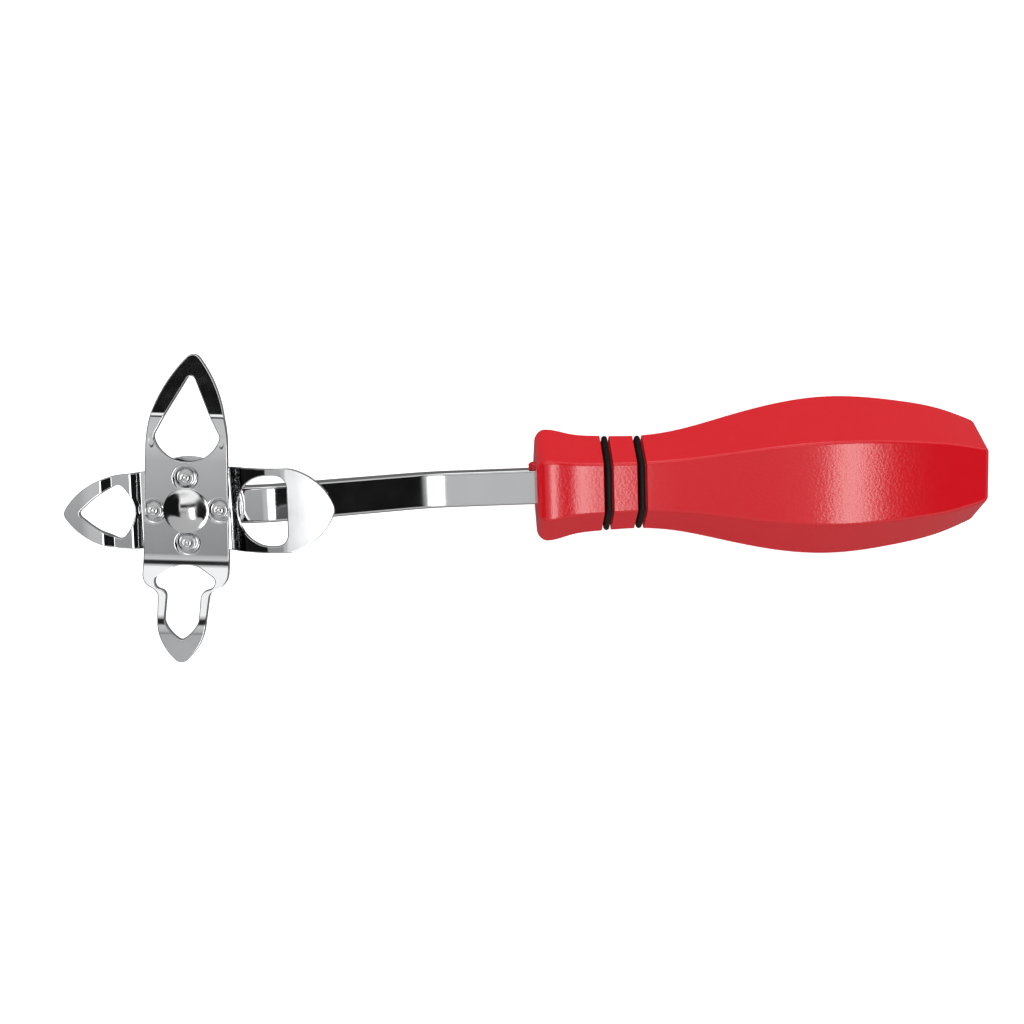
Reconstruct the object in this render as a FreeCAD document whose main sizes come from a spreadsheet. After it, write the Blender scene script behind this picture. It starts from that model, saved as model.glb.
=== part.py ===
"""Lever opener with a swivelling four-arm head, modelled as separate pieces.

Frame, in millimetres: the origin is the middle of the flat butt of the handle,
+X runs along the handle and out of the butt, +Y runs across the tool and +Z is
up, out of the front of the head. The head turns about an upright pivot near the
far end of the shank. Pieces of the head are drawn about the pivot and are then
placed there, turned by the small play of the click stop.
"""
import FreeCAD
import Part
import Sketcher

import math
import os

from FreeCAD import Placement, Rotation, Vector

DOC = FreeCAD.newDocument("LeverOpener")
SHEET = DOC.addObject("Spreadsheet::Sheet", "Sizes")

# Driving sizes: alias, value in mm (or degrees), and what it is.
SIZES = [
    ("handle_length", 103.0, "front face to butt"),
    ("front_width", 25.8, "handle corner to corner at its front face"),
    ("flare_place", 2.6, "from the front face"),
    ("flare_width", 26.4, "corner to corner at the flare"),
    ("throat_place", 8.0, "from the front face"),
    ("throat_width", 24.1, "corner to corner"),
    ("neck_place", 15.0, "from the front face"),
    ("neck_width", 22.6, "corner to corner"),
    ("waist_place", 24.0, "from the front face"),
    ("waist_width", 22.1, "corner to corner at the thinnest place"),
    ("shoulder_place", 33.7, "from the front face"),
    ("shoulder_width", 24.3, "corner to corner"),
    ("rise_place", 43.0, "from the front face"),
    ("rise_width", 28.8, "corner to corner"),
    ("palm_place", 52.3, "from the front face"),
    ("palm_width", 33.3, "corner to corner"),
    ("belly_place", 68.0, "from the front face"),
    ("belly_width", 37.2, "corner to corner at the thickest place"),
    ("heel_place", 85.0, "from the front face"),
    ("heel_width", 34.0, "corner to corner"),
    ("taper_place", 95.2, "from the front face"),
    ("taper_width", 29.3, "corner to corner"),
    ("butt_width", 22.9, "corner to corner at the butt"),
    ("front_round", 2.4, "radius of the handle's front edges"),
    ("butt_round", 1.2, "radius of the handle's butt edges"),
    ("crease_round", 1.1, "radius of the handle's long edges"),
    ("groove_width", 2.1, "ring groove, along the handle"),
    ("groove_depth", 1.3, "ring groove, below the flats"),
    ("front_groove_place", 16.3, "middle of the groove from the front face"),
    ("rear_groove_place", 23.9, "middle of the groove from the front face"),
    ("cord_width", 1.4, "thickness of a ring's round section"),
    ("ring_corner", 1.2, "bend radius of a ring's centre line"),
    ("reach", 76.5, "pivot to the handle's front face"),
    ("bar_width", 8.2, "shank across"),
    ("bar_thickness", 4.8, "shank through"),
    ("bar_round", 0.8, "radius of the shank's long edges"),
    ("crank_height", 14.0, "head end of the shank above the handle's middle"),
    ("crank_start", 16.5, "pivot to the first bend"),
    ("crank_end", 51.8, "pivot to the second bend"),
    ("crank_bend", 7.0, "inner radius of the shank's bends"),
    ("tang_length", 62.0, "shank inside the handle"),
    ("eye_width", 13.0, "round end of the shank"),
    ("pivot_width", 5.0, "pivot rivet's body"),
    ("pivot_play", 0.05, "radial play of the shank on the pivot rivet"),
    ("dome_width", 10.0, "pivot rivet's domed head"),
    ("dome_height", 1.9, "pivot rivet's domed head"),
    ("tail_width", 8.0, "pivot rivet's closed tail"),
    ("tail_height", 1.3, "pivot rivet's closed tail"),
    ("tail_edge", 0.45, "bevel round the pivot rivet's closed tail"),
    ("washer_width", 10.6, "back washer"),
    ("washer_thickness", 1.0, "back washer"),
    ("washer_play", 0.15, "between the back washer and the shank"),
    ("sheet_thickness", 1.5, "both blades"),
    ("backing_thickness", 1.2, "backing plate"),
    ("backing_width", 23.0, "backing plate, a disc"),
    ("spring_gap", 0.8, "between the shank and the backing plate"),
    ("head_turn", -1.8, "degrees, where the click stop leaves the head"),
    ("front_skew", -1.9, "degrees, how far the front blade sits askew on its rivets"),
    ("rear_skew", 0.8, "degrees, how far the rear blade sits askew on its rivets"),
    ("rivet_circle", 7.1, "pivot to the middle of a blade rivet"),
    ("rivet_width", 2.6, "blade rivet's body"),
    ("rivet_head_width", 3.7, "blade rivet's head"),
    ("rivet_head_height", 0.7, "blade rivet's head"),
    ("rivet_tail_width", 3.4, "blade rivet's tail"),
    ("rivet_tail_height", 0.35, "blade rivet's tail"),
    ("seat_depth", 0.8, "dished rivet seat in the front blade"),
    ("seat_width", 4.1, "floor of a dished rivet seat"),
    ("seat_mouth", 5.3, "mouth of a dished rivet seat"),
    ("leaf_thickness", 0.4, "index spring"),
    ("leaf_width", 6.4, "index spring's tail"),
    ("leaf_hub", 4.8, "radius of the index spring's round end"),
    ("leaf_reach", 10.2, "pivot to the index spring's free end"),
    ("leaf_lift", 0.35, "set of the index spring's free end"),
    ("leaf_window", 4.3, "hole that catches a blade rivet's tail"),
    ("pip_width", 1.4, "index spring's locating pip"),
    ("pip_depth", 1.0, "index spring's locating pip"),
    ("pip_place", 4.2, "pivot to the middle of the pip"),
    ("pip_play", 0.05, "radial play of the pip in the shank"),
    ("pip_bottom", 0.2, "free space under the pip"),
    ("point_reach", 34.3, "front blade: pivot to the point of the upper arm"),
    ("point_start", 13.0, "front blade: where the upper arm starts to narrow"),
    ("point_bow", 29.5, "front blade: radius of the upper arm's sides"),
    ("point_half", 8.8, "front blade: half width where the upper arm starts"),
    ("plate_half", 9.3, "front blade: half width at the lower bend"),
    ("point_bend", 20.1, "front blade: pivot to the upper arm's bend"),
    ("point_sink", 0.7, "front blade: fall of the upper arm at its bend"),
    ("point_drop", 8.7, "front blade: fall of the upper arm at its point"),
    ("drop_floor", 10.5, "teardrop opening: pivot to its round end"),
    ("drop_widest", 15.3, "teardrop opening: pivot to its widest place"),
    ("drop_half", 6.9, "teardrop opening: half width"),
    ("drop_bowl", 7.4, "teardrop opening: radius of the round end"),
    ("drop_shoulder", 16.9, "teardrop opening: pivot to where its sides start"),
    ("drop_shoulder_half", 6.63, "teardrop opening: half width there"),
    ("drop_top", 28.0, "teardrop opening: pivot to where its sides end"),
    ("drop_tip", 0.95, "teardrop opening: half width where its sides end"),
    ("drop_tip_bow", 1.0, "teardrop opening: radius of its point"),
    ("drop_end", 28.8, "teardrop opening: pivot to its point"),
    ("fork_bend", 11.6, "front blade: pivot to the lower arm's first bend"),
    ("fork_level", 24.2, "front blade: pivot to the lower arm's second bend"),
    ("fork_rise", 5.4, "front blade: rise of the lower arm"),
    ("fork_reach", 32.9, "front blade: pivot to the tip of the lower arm"),
    ("fork_tip_half", 5.2, "front blade: half width at the second bend"),
    ("fork_tip_bow", 12.0, "front blade: radius of the lower tip's sides"),
    ("fork_neck_half", 5.55, "front blade: half width of the neck"),
    ("fork_neck", 18.1, "front blade: pivot to the top of the neck"),
    ("fork_cheek", 16.6, "front blade: pivot to the middle of the cheek"),
    ("fork_cheek_half", 7.6, "front blade: half width there"),
    ("fork_side", 14.0, "front blade: pivot to the start of the cheek"),
    ("fork_inner", 3.0, "front blade: radius under the cheek"),
    ("fork_outer", 3.2, "front blade: radius of the cheek"),
    ("key_top", 12.0, "keyhole opening: pivot to its top"),
    ("key_slope", 12.5, "keyhole opening: pivot to the start of the slope"),
    ("key_slope_half", 3.0, "keyhole opening: half width there"),
    ("key_ear", 14.6, "keyhole opening: pivot to its ears"),
    ("key_ear_half", 6.3, "keyhole opening: half width at its ears"),
    ("key_throat", 17.0, "keyhole opening: pivot to the end of its ears"),
    ("key_throat_half", 4.9, "keyhole opening: half width there"),
    ("key_neck", 18.4, "keyhole opening: pivot to its neck"),
    ("key_neck_half", 3.66, "keyhole opening: half width of its neck"),
    ("key_end", 23.4, "keyhole opening: pivot to the end of its neck"),
    ("key_point", 27.5, "keyhole opening: pivot to its point"),
    ("opening_corner", 1.6, "front blade: radius of its openings' corners"),
    ("beak_reach", 25.9, "rear blade: pivot to the tip of the left arm"),
    ("beak_start", 13.0, "rear blade: where the left arm starts to narrow"),
    ("beak_half", 8.1, "rear blade: half width there"),
    ("beak_root", 9.5, "rear blade: pivot to the root of the left arm"),
    ("beak_root_half", 8.4, "rear blade: half width there"),
    ("beak_bow", 15.2, "rear blade: radius of the left arm's sides"),
    ("beak_step", 1.6, "rear blade: height of each of the left arm's steps"),
    ("beak_step_run", 1.7, "rear blade: length of each of the steps"),
    ("beak_first", 10.4, "rear blade: pivot to the first step"),
    ("beak_second", 16.4, "rear blade: pivot to the second step"),
    ("beak_rise", 4.2, "rear blade: rise of the left tip"),
    ("tri_base", 11.1, "three-sided opening: pivot to its base"),
    ("tri_base_bow", 8.5, "three-sided opening: radius of its base"),
    ("tri_corner", 13.3, "three-sided opening: pivot to the end of the base"),
    ("tri_corner_half", 5.2, "three-sided opening: half width there"),
    ("tri_corner_bow", 1.4, "three-sided opening: radius of its corners"),
    ("tri_side", 14.8, "three-sided opening: pivot to the start of a side"),
    ("tri_side_half", 5.8, "three-sided opening: half width there"),
    ("tri_side_bow", 25.0, "three-sided opening: radius of its sides"),
    ("tri_tip", 21.7, "three-sided opening: pivot to the end of a side"),
    ("tri_tip_half", 0.95, "three-sided opening: half width there"),
    ("tri_tip_bow", 1.1, "three-sided opening: radius of its point"),
    ("tri_end", 22.4, "three-sided opening: pivot to its point"),
    ("spoon_reach", 32.5, "rear blade: pivot to the tip of the right arm"),
    ("spoon_start", 22.9, "rear blade: where the right arm starts to narrow"),
    ("spoon_half", 9.1, "rear blade: half width of the right arm"),
    ("spoon_bow", 13.2, "rear blade: radius of the right arm's sides"),
    ("spoon_root", 10.1, "rear blade: pivot to the foot of the right arm"),
    ("spoon_knee", 13.2, "rear blade: pivot to the right arm's steep part"),
    ("spoon_knee_rise", 3.0, "rear blade: rise there"),
    ("spoon_brow", 17.4, "rear blade: pivot to the right arm's brow"),
    ("spoon_brow_rise", 5.35, "rear blade: rise there"),
    ("spoon_crown", 20.8, "rear blade: pivot to the top of the right arm"),
    ("spoon_crown_rise", 5.9, "rear blade: rise there"),
    ("spoon_fall", 28.2, "rear blade: pivot to the right arm's falling part"),
    ("spoon_fall_rise", 5.05, "rear blade: rise there"),
    ("spoon_tip_rise", 4.35, "rear blade: rise of the right tip"),
    ("bow_start", 10.8, "D-shaped opening: pivot to its round side"),
    ("bow_centre", 18.45, "D-shaped opening: pivot to the middle of the arc"),
    ("bow_end", 22.3, "D-shaped opening: pivot to its straight side"),
    ("bow_corner", 2.6, "D-shaped opening: radius of its corners"),
    ("fold_round", 0.8, "inner radius of a sharp fold"),
    ("curl_round", 5.0, "inner radius of a soft fold"),
    ("tip_round", 1.7, "radius of the arms' tips"),
    ("blank_spare", 1.0, "how far a folded blank runs past its outline"),
    ("cutter_spare", 5.0, "how far a trimming cutter runs past the blades"),
]

NEAR = 1e-3  # mm, how close two places are when they count as the same


class Size:
    """A length that knows its value and the sheet expression that gives it."""

    def __init__(self, value, text):
        self.value = value
        self.text = text

    @staticmethod
    def of(item):
        """Return item as a Size, so plain numbers can be mixed in."""
        if isinstance(item, Size):
            return item
        return Size(float(item), repr(float(item)))

    def joined(self, other, sign, value):
        return Size(value, "(" + self.text + sign + Size.of(other).text + ")")

    def __add__(self, other):
        return self.joined(other, " + ", self.value + Size.of(other).value)

    def __sub__(self, other):
        return self.joined(other, " - ", self.value - Size.of(other).value)

    def __mul__(self, other):
        return self.joined(other, " * ", self.value * Size.of(other).value)

    def __truediv__(self, other):
        return self.joined(other, " / ", self.value / Size.of(other).value)

    def __neg__(self):
        return Size.of(0.0) - self


def fill_sheet():
    """Write the driving sizes into the sheet and return them by alias."""
    named = {}
    for row, (alias, value, note) in enumerate(SIZES, start=1):
        SHEET.set("A" + str(row), alias)
        SHEET.set("B" + str(row), str(value))
        SHEET.set("C" + str(row), note)
        SHEET.setAlias("B" + str(row), alias)
        named[alias] = Size(value, "Sizes." + alias)
    DOC.recompute()
    return named


S = fill_sheet()
ZERO = Size.of(0.0)

# Levels and places that follow from the driving sizes.
FRONT_X = -S["handle_length"]
PIVOT_X = FRONT_X - S["reach"]
EYE_TOP = S["crank_height"] + S["bar_thickness"] / 2
EYE_LOW = S["crank_height"] - S["bar_thickness"] / 2
BACKING_LOW = EYE_TOP + S["spring_gap"]
REAR_LOW = BACKING_LOW + S["backing_thickness"]
FRONT_LOW = REAR_LOW + S["sheet_thickness"]
FRONT_TOP = FRONT_LOW + S["sheet_thickness"]
WASHER_TOP = EYE_LOW - S["washer_play"]
WASHER_LOW = WASHER_TOP - S["washer_thickness"]
HEX_FLAT = math.cos(math.pi / 6)


def bind(item, name, size):
    """Tie a property of a document object to a size."""
    item.setExpression(name, Size.of(size).text)


# ---------------------------------------------------------------- sketching

def plane_of(body, role):
    """Return one of a body's own origin planes."""
    for feature in body.Origin.OriginFeatures:
        if feature.Role == role:
            return feature
    raise ValueError(role)


def new_body(label):
    """Start a body whose label is the name of its node."""
    body = DOC.addObject("PartDesign::Body", label)
    body.Label = label
    return body


def new_sketch(body, role, name, lift=None):
    """Start a sketch on an origin plane, raised by lift where it is given."""
    sketch = body.newObject("Sketcher::SketchObject", name)
    sketch.AttachmentSupport = [(plane_of(body, role), "")]
    sketch.MapMode = "FlatFace"
    if lift is not None:
        bind(sketch, ".AttachmentOffset.Base.z", lift)
    return sketch


def pin_coordinate(sketch, kind, line, end, size):
    """Hold one coordinate of a sketch point at a size."""
    if abs(size.value) < 1e-9:
        other = -2 if kind == "DistanceX" else -1
        sketch.addConstraint(Sketcher.Constraint("PointOnObject", line, end, other))
    elif size.value > 0.0:
        index = sketch.addConstraint(
            Sketcher.Constraint(kind, -1, 1, line, end, size.value))
        sketch.setExpression("Constraints[%d]" % index, size.text)
    else:
        index = sketch.addConstraint(
            Sketcher.Constraint(kind, line, end, -1, 1, -size.value))
        sketch.setExpression("Constraints[%d]" % index, (-size).text)


def pin(sketch, line, end, place):
    """Hold a sketch point at a place given as two sizes."""
    pin_coordinate(sketch, "DistanceX", line, end, place[0])
    pin_coordinate(sketch, "DistanceY", line, end, place[1])


def arc_between(start, end, bow):
    """Return the arc from start to end, anticlockwise where bow is positive."""
    chord = end - start
    half = chord.Length / 2
    across = Vector(-chord.y, chord.x, 0).normalize()
    rise = math.sqrt(max(bow * bow - half * half, 0.0))
    centre = (start + end) * 0.5 + across * math.copysign(rise, bow)
    circle = Part.Circle(centre, Vector(0, 0, 1), abs(bow))
    first, last = (start, end) if bow > 0 else (end, start)
    return Part.ArcOfCircle(circle, circle.parameter(first), circle.parameter(last))


def add_loop(sketch, corners):
    """Add a closed outline: each corner is x, y and the bow of the next side."""
    points = [Vector(x.value, y.value, 0) for x, y, bow in corners]
    starts = []
    ends = []
    sides = []
    for index, (x, y, bow) in enumerate(corners):
        start = points[index]
        end = points[(index + 1) % len(points)]
        if bow is None:
            sides.append(sketch.addGeometry(Part.LineSegment(start, end), False))
        else:
            arc = arc_between(start, end, bow.value)
            sides.append(sketch.addGeometry(arc, False))
        forward = bow is None or bow.value > 0
        starts.append(1 if forward else 2)
        ends.append(2 if forward else 1)
    for index, (x, y, bow) in enumerate(corners):
        following = (index + 1) % len(corners)
        sketch.addConstraint(Sketcher.Constraint(
            "Coincident", sides[index], ends[index], sides[following], starts[following]))
    for index, (x, y, bow) in enumerate(corners):
        pin(sketch, sides[index], starts[index], (x, y))
        if bow is not None:
            size = bow if bow.value > 0 else -bow
            radius = sketch.addConstraint(
                Sketcher.Constraint("Radius", sides[index], size.value))
            sketch.setExpression("Constraints[%d]" % radius, size.text)


def add_circle(sketch, place, radius):
    """Add a circle about a place given as two sizes."""
    centre = Vector(place[0].value, place[1].value, 0)
    circle = sketch.addGeometry(Part.Circle(centre, Vector(0, 0, 1), radius.value), False)
    pin(sketch, circle, 3, place)
    index = sketch.addConstraint(Sketcher.Constraint("Radius", circle, radius.value))
    sketch.setExpression("Constraints[%d]" % index, radius.text)


def mirrored(half, axis):
    """Close half an outline over an axis: 0 mirrors x and 1 mirrors y."""
    whole = list(half)
    for index in range(len(half) - 1, 0, -1):
        x, y, bow = half[index]
        before = half[index - 1][2]
        if index == len(half) - 1:
            whole[-1] = (x, y, before)
            continue
        whole.append((-x if axis == 0 else x, -y if axis == 1 else y, before))
    return whole


def add_folded_strip(sketch, places, thickness):
    """Add the edge view of a folded sheet above the line through places."""
    low = [Vector(x.value, y.value, 0) for x, y in places]
    normals = []
    for start, end in zip(low, low[1:]):
        along = (end - start).normalize()
        normals.append(Vector(-along.y, along.x, 0))
    high = []
    for index, point in enumerate(low):
        if 0 < index < len(low) - 1:
            before, after = normals[index - 1], normals[index]
            lift = (before + after) * (thickness.value / (1 + before.dot(after)))
        else:
            normal = normals[min(index, len(normals) - 1)]
            lift = Vector(0, thickness.value / normal.y, 0)
        high.append(point + lift)
    ring = low + high[::-1]
    lines = []
    for index, start in enumerate(ring):
        end = ring[(index + 1) % len(ring)]
        lines.append(sketch.addGeometry(Part.LineSegment(start, end), False))
    for index, line in enumerate(lines):
        following = lines[(index + 1) % len(lines)]
        sketch.addConstraint(Sketcher.Constraint("Coincident", line, 2, following, 1))
    for line, place in zip(lines, places):
        pin(sketch, line, 1, place)
    count = len(low)
    sketch.addConstraint(Sketcher.Constraint("Vertical", lines[count - 1]))
    sketch.addConstraint(Sketcher.Constraint("Vertical", lines[-1]))
    for index in range(count):
        top_line = lines[2 * count - 1 - index]
        for edge in {max(index - 1, 0), min(index, count - 2)}:
            gap = sketch.addConstraint(Sketcher.Constraint(
                "Distance", top_line, 1, lines[edge], thickness.value))
            sketch.setExpression("Constraints[%d]" % gap, thickness.text)
    return low, high


# ---------------------------------------------------------------- features

def pad(body, sketch, name, length, both=False):
    """Pad a sketch by a size, to both sides of it where both is set."""
    feature = body.newObject("PartDesign::Pad", name)
    feature.Profile = sketch
    feature.Midplane = both
    bind(feature, "Length", length)
    DOC.recompute()
    return feature


def cut_through(body, sketch, name):
    """Cut a sketch right through the body, both ways."""
    before = body.Shape.Volume
    feature = body.newObject("PartDesign::Pocket", name)
    feature.Profile = sketch
    feature.Type = "ThroughAll"
    feature.Midplane = True
    DOC.recompute()
    if body.Shape.Volume >= before:
        raise ValueError(name + " cuts nothing")
    return feature


def round_edges(body, name, chosen, radius):
    """Round the body's edges that chosen picks."""
    base = body.Tip
    names = ["Edge%d" % (i + 1) for i, edge in enumerate(base.Shape.Edges) if chosen(edge)]
    if not names:
        raise ValueError(name + " finds no edge")
    feature = body.newObject("PartDesign::Fillet", name)
    feature.Base = (base, names)
    bind(feature, "Radius", radius)
    DOC.recompute()
    return feature


def runs_along(edge, direction):
    """Say whether an edge is a straight one along a direction."""
    if edge.Curve.TypeId != "Part::GeomLine":
        return False
    return abs(abs(edge.Curve.Direction.dot(direction)) - 1) < 1e-6


def on_folds(points, direction, to_space):
    """Return a test for the straight edges that stand over sketch points."""
    places = [to_space(point) for point in points]

    def chosen(edge):
        if not runs_along(edge, direction):
            return False
        middle = edge.valueAt((edge.FirstParameter + edge.LastParameter) / 2)
        return any((middle - place).Length < NEAR for place in places)

    return chosen


def round_folds(body, strip, direction, to_space, soft, flat):
    """Round the folds of a strip, but not the few that hardly turn."""
    low, high = strip
    thickness = S["sheet_thickness"]
    for kind, inner in (("Sharp", S["fold_round"]), ("Soft", S["curl_round"])):
        inside = []
        outside = []
        for index in range(1, len(low) - 1):
            if index in flat or (index in soft) != (kind == "Soft"):
                continue
            before = low[index] - low[index - 1]
            after = low[index + 1] - low[index]
            climbs = before.cross(after).z > 0
            inside.append(high[index] if climbs else low[index])
            outside.append(low[index] if climbs else high[index])
        if inside:
            round_edges(body, kind + "Inside", on_folds(inside, direction, to_space), inner)
            round_edges(body, kind + "Outside", on_folds(outside, direction, to_space),
                        inner + thickness)


def put_on_pivot(item, skew=None):
    """Place a piece of the head on the pivot, turned by the stop's play.

    A blade that sits askew on its rivets is turned by its skew as well.
    """
    turn = S["head_turn"] if skew is None else S["head_turn"] + skew
    item.Placement = Placement(Vector(PIVOT_X.value, 0, 0),
                               Rotation(Vector(0, 0, 1), turn.value))
    bind(item, ".Placement.Base.x", PIVOT_X)
    bind(item, ".Placement.Rotation.Angle", turn)


def put_on_eye(item):
    """Place a piece of the shank's head end on the pivot, square to the shank."""
    bind(item, ".Placement.Base.x", PIVOT_X)


# ---------------------------------------------------------------- the head

def over_y(point):
    """Turn a point of a sketch on the YZ plane into a point in space."""
    return Vector(0, point.x, point.y)


def over_x(point):
    """Turn a point of a sketch on the XZ plane into a point in space."""
    return Vector(point.x, 0, point.y)


def trim_to_outline(body, outline):
    """Cut away everything outside an outline seen from above."""
    far = S["point_reach"] + S["cutter_spare"]
    sketch = new_sketch(body, "XY_Plane", "Outline")
    add_loop(sketch, [(-far, -far, None), (far, -far, None), (far, far, None),
                      (-far, far, None)])
    add_loop(sketch, outline)
    cut_through(body, sketch, "OutlineCut")


def cut_openings(body, openings, skew):
    """Cut the openings of a blade and its holes for the rivets."""
    for name, outline in openings:
        sketch = new_sketch(body, "XY_Plane", name)
        add_loop(sketch, outline)
        cut_through(body, sketch, name + "Cut")
    drill_for_rivets(body, skew)


def drill_for_rivets(body, skew=None):
    """Cut the pivot rivet's hole and the four blade rivets' holes.

    A blade's skew is taken back here, so its holes stay on the rivets.
    """
    sketch = new_sketch(body, "XY_Plane", "RivetHoles")
    if skew is not None:
        sketch.AttachmentOffset = Placement(Vector(), Rotation(Vector(0, 0, 1), -skew.value))
        bind(sketch, ".AttachmentOffset.Rotation.Angle", -skew)
    add_circle(sketch, (ZERO, ZERO), S["pivot_width"] / 2)
    for x, y in rivet_places():
        add_circle(sketch, (x, y), S["rivet_width"] / 2)
    cut_through(body, sketch, "RivetHolesCut")


def rivet_places():
    """Return the places of the blade rivets: right, top, left and bottom."""
    ring = S["rivet_circle"]
    return [(ring, ZERO), (ZERO, ring), (-ring, ZERO), (ZERO, -ring)]


def round_tips(body):
    """Round the upright edges at the two tips of a blade."""
    def chosen(edge):
        place = edge.BoundBox.Center
        far = max(abs(place.x), abs(place.y))
        on_axis = min(abs(place.x), abs(place.y)) < NEAR
        at_tip = far > S["beak_reach"].value - S["blank_spare"].value
        return runs_along(edge, Vector(0, 0, 1)) and on_axis and at_tip

    round_edges(body, "TipRound", chosen, S["tip_round"])


def front_blade():
    """The upright blade: a pointed arm up, a forked arm down."""
    body = new_body("front_blade")
    margin = S["blank_spare"]
    side = new_sketch(body, "YZ_Plane", "EdgeView")
    strip = add_folded_strip(side, [
        (-(S["fork_reach"] + margin), FRONT_LOW + S["fork_rise"]),
        (-S["fork_level"], FRONT_LOW + S["fork_rise"]),
        (-S["fork_bend"], FRONT_LOW),
        (S["point_start"], FRONT_LOW),
        (S["point_bend"], FRONT_LOW - S["point_sink"]),
        (S["point_reach"] + margin, FRONT_LOW - S["point_drop"]),
    ], S["sheet_thickness"])
    pad(body, side, "FoldedSheet", S["plate_half"] * 2 + margin, both=True)
    round_folds(body, strip, Vector(1, 0, 0), over_y, soft=[1, 2], flat=[3])
    trim_to_outline(body, mirrored([
        (ZERO, -S["fork_reach"], S["fork_tip_bow"]),
        (S["fork_tip_half"], -S["fork_level"], None),
        (S["fork_neck_half"], -S["fork_neck"], -S["fork_inner"]),
        (S["fork_cheek_half"], -S["fork_cheek"], S["fork_outer"]),
        (S["plate_half"], -S["fork_side"], None),
        (S["plate_half"], -S["fork_bend"], None),
        (S["point_half"], S["point_start"], S["point_bow"]),
        (ZERO, S["point_reach"], None),
    ], axis=0))
    corner = S["opening_corner"]
    cut_openings(body, [
        ("Teardrop", mirrored([
            (ZERO, S["drop_floor"], S["drop_bowl"]),
            (S["drop_half"], S["drop_widest"], corner),
            (S["drop_shoulder_half"], S["drop_shoulder"], None),
            (S["drop_tip"], S["drop_top"], S["drop_tip_bow"]),
            (ZERO, S["drop_end"], None),
        ], axis=0)),
        ("Keyhole", mirrored([
            (ZERO, -S["key_point"], S["key_point"] - S["key_neck"]),
            (S["key_neck_half"], -S["key_end"], None),
            (S["key_neck_half"], -S["key_neck"], -corner),
            (S["key_throat_half"], -S["key_throat"], corner),
            (S["key_ear_half"], -S["key_ear"], None),
            (S["key_slope_half"], -S["key_slope"], S["key_slope_half"] * 2),
            (ZERO, -S["key_top"], None),
        ], axis=0)),
    ], S["front_skew"])
    sink_rivet_seats(body, S["front_skew"])
    round_tips(body)
    put_on_pivot(body, S["front_skew"])
    return body


def sink_rivet_seats(body, skew):
    """Cut the dished seats that take the blade rivets' heads."""
    lean = skew.text + " * 1deg"
    for index, (x, y) in enumerate(rivet_places()):
        before = body.Shape.Volume
        cone = body.newObject("PartDesign::SubtractiveCone", "Seat%d" % index)
        bind(cone, "Radius1", S["seat_width"] / 2)
        bind(cone, "Radius2", S["seat_mouth"] / 2)
        bind(cone, "Height", S["seat_depth"])
        cone.AttachmentSupport = [(plane_of(body, "XY_Plane"), "")]
        cone.MapMode = "FlatFace"
        cone.setExpression(".AttachmentOffset.Base.x", "%s * cos(%s) + %s * sin(%s)"
                           % (x.text, lean, y.text, lean))
        cone.setExpression(".AttachmentOffset.Base.y", "%s * cos(%s) - %s * sin(%s)"
                           % (y.text, lean, x.text, lean))
        bind(cone, ".AttachmentOffset.Base.z", FRONT_TOP - S["seat_depth"])
        DOC.recompute()
        if body.Shape.Volume >= before:
            raise ValueError("a rivet seat cuts nothing")


def rear_blade():
    """The level blade: a beak to the left, a raised spoon to the right."""
    body = new_body("rear_blade")
    margin = S["blank_spare"]
    first_end = S["beak_first"] + S["beak_step_run"]
    second_end = S["beak_second"] + S["beak_step_run"]
    side = new_sketch(body, "XZ_Plane", "EdgeView")
    strip = add_folded_strip(side, [
        (-(S["beak_reach"] + margin), REAR_LOW + S["beak_rise"]),
        (-second_end, REAR_LOW + S["beak_step"] * 2),
        (-S["beak_second"], REAR_LOW + S["beak_step"]),
        (-first_end, REAR_LOW + S["beak_step"]),
        (-S["beak_first"], REAR_LOW),
        (S["spoon_root"], REAR_LOW),
        (S["spoon_knee"], REAR_LOW + S["spoon_knee_rise"]),
        (S["spoon_brow"], REAR_LOW + S["spoon_brow_rise"]),
        (S["spoon_crown"], REAR_LOW + S["spoon_crown_rise"]),
        (S["spoon_fall"], REAR_LOW + S["spoon_fall_rise"]),
        (S["spoon_reach"] + margin, REAR_LOW + S["spoon_tip_rise"]),
    ], S["sheet_thickness"])
    pad(body, side, "FoldedSheet", S["spoon_half"] * 2 + margin, both=True)
    round_folds(body, strip, Vector(0, 1, 0), over_x, soft=[6, 7, 8], flat=[9])
    trim_to_outline(body, mirrored([
        (S["spoon_reach"], ZERO, S["spoon_bow"]),
        (S["spoon_start"], S["spoon_half"], None),
        (S["spoon_root"], S["spoon_half"], None),
        (-S["beak_root"], S["beak_root_half"], None),
        (-S["beak_start"], S["beak_half"], S["beak_bow"]),
        (-S["beak_reach"], ZERO, None),
    ], axis=1))
    round_side = S["bow_centre"] - S["bow_start"]
    cut_openings(body, [
        ("ThreeSided", mirrored([
            (-S["tri_base"], ZERO, S["tri_base_bow"]),
            (-S["tri_corner"], S["tri_corner_half"], S["tri_corner_bow"]),
            (-S["tri_side"], S["tri_side_half"], S["tri_side_bow"]),
            (-S["tri_tip"], S["tri_tip_half"], S["tri_tip_bow"]),
            (-S["tri_end"], ZERO, None),
        ], axis=1)),
        ("Bow", mirrored([
            (S["bow_end"], ZERO, None),
            (S["bow_end"], round_side - S["bow_corner"], S["bow_corner"]),
            (S["bow_end"] - S["bow_corner"], round_side, None),
            (S["bow_centre"], round_side, round_side),
            (S["bow_start"], ZERO, None),
        ], axis=1)),
    ], S["rear_skew"])
    round_tips(body)
    put_on_pivot(body, S["rear_skew"])
    return body


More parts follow.
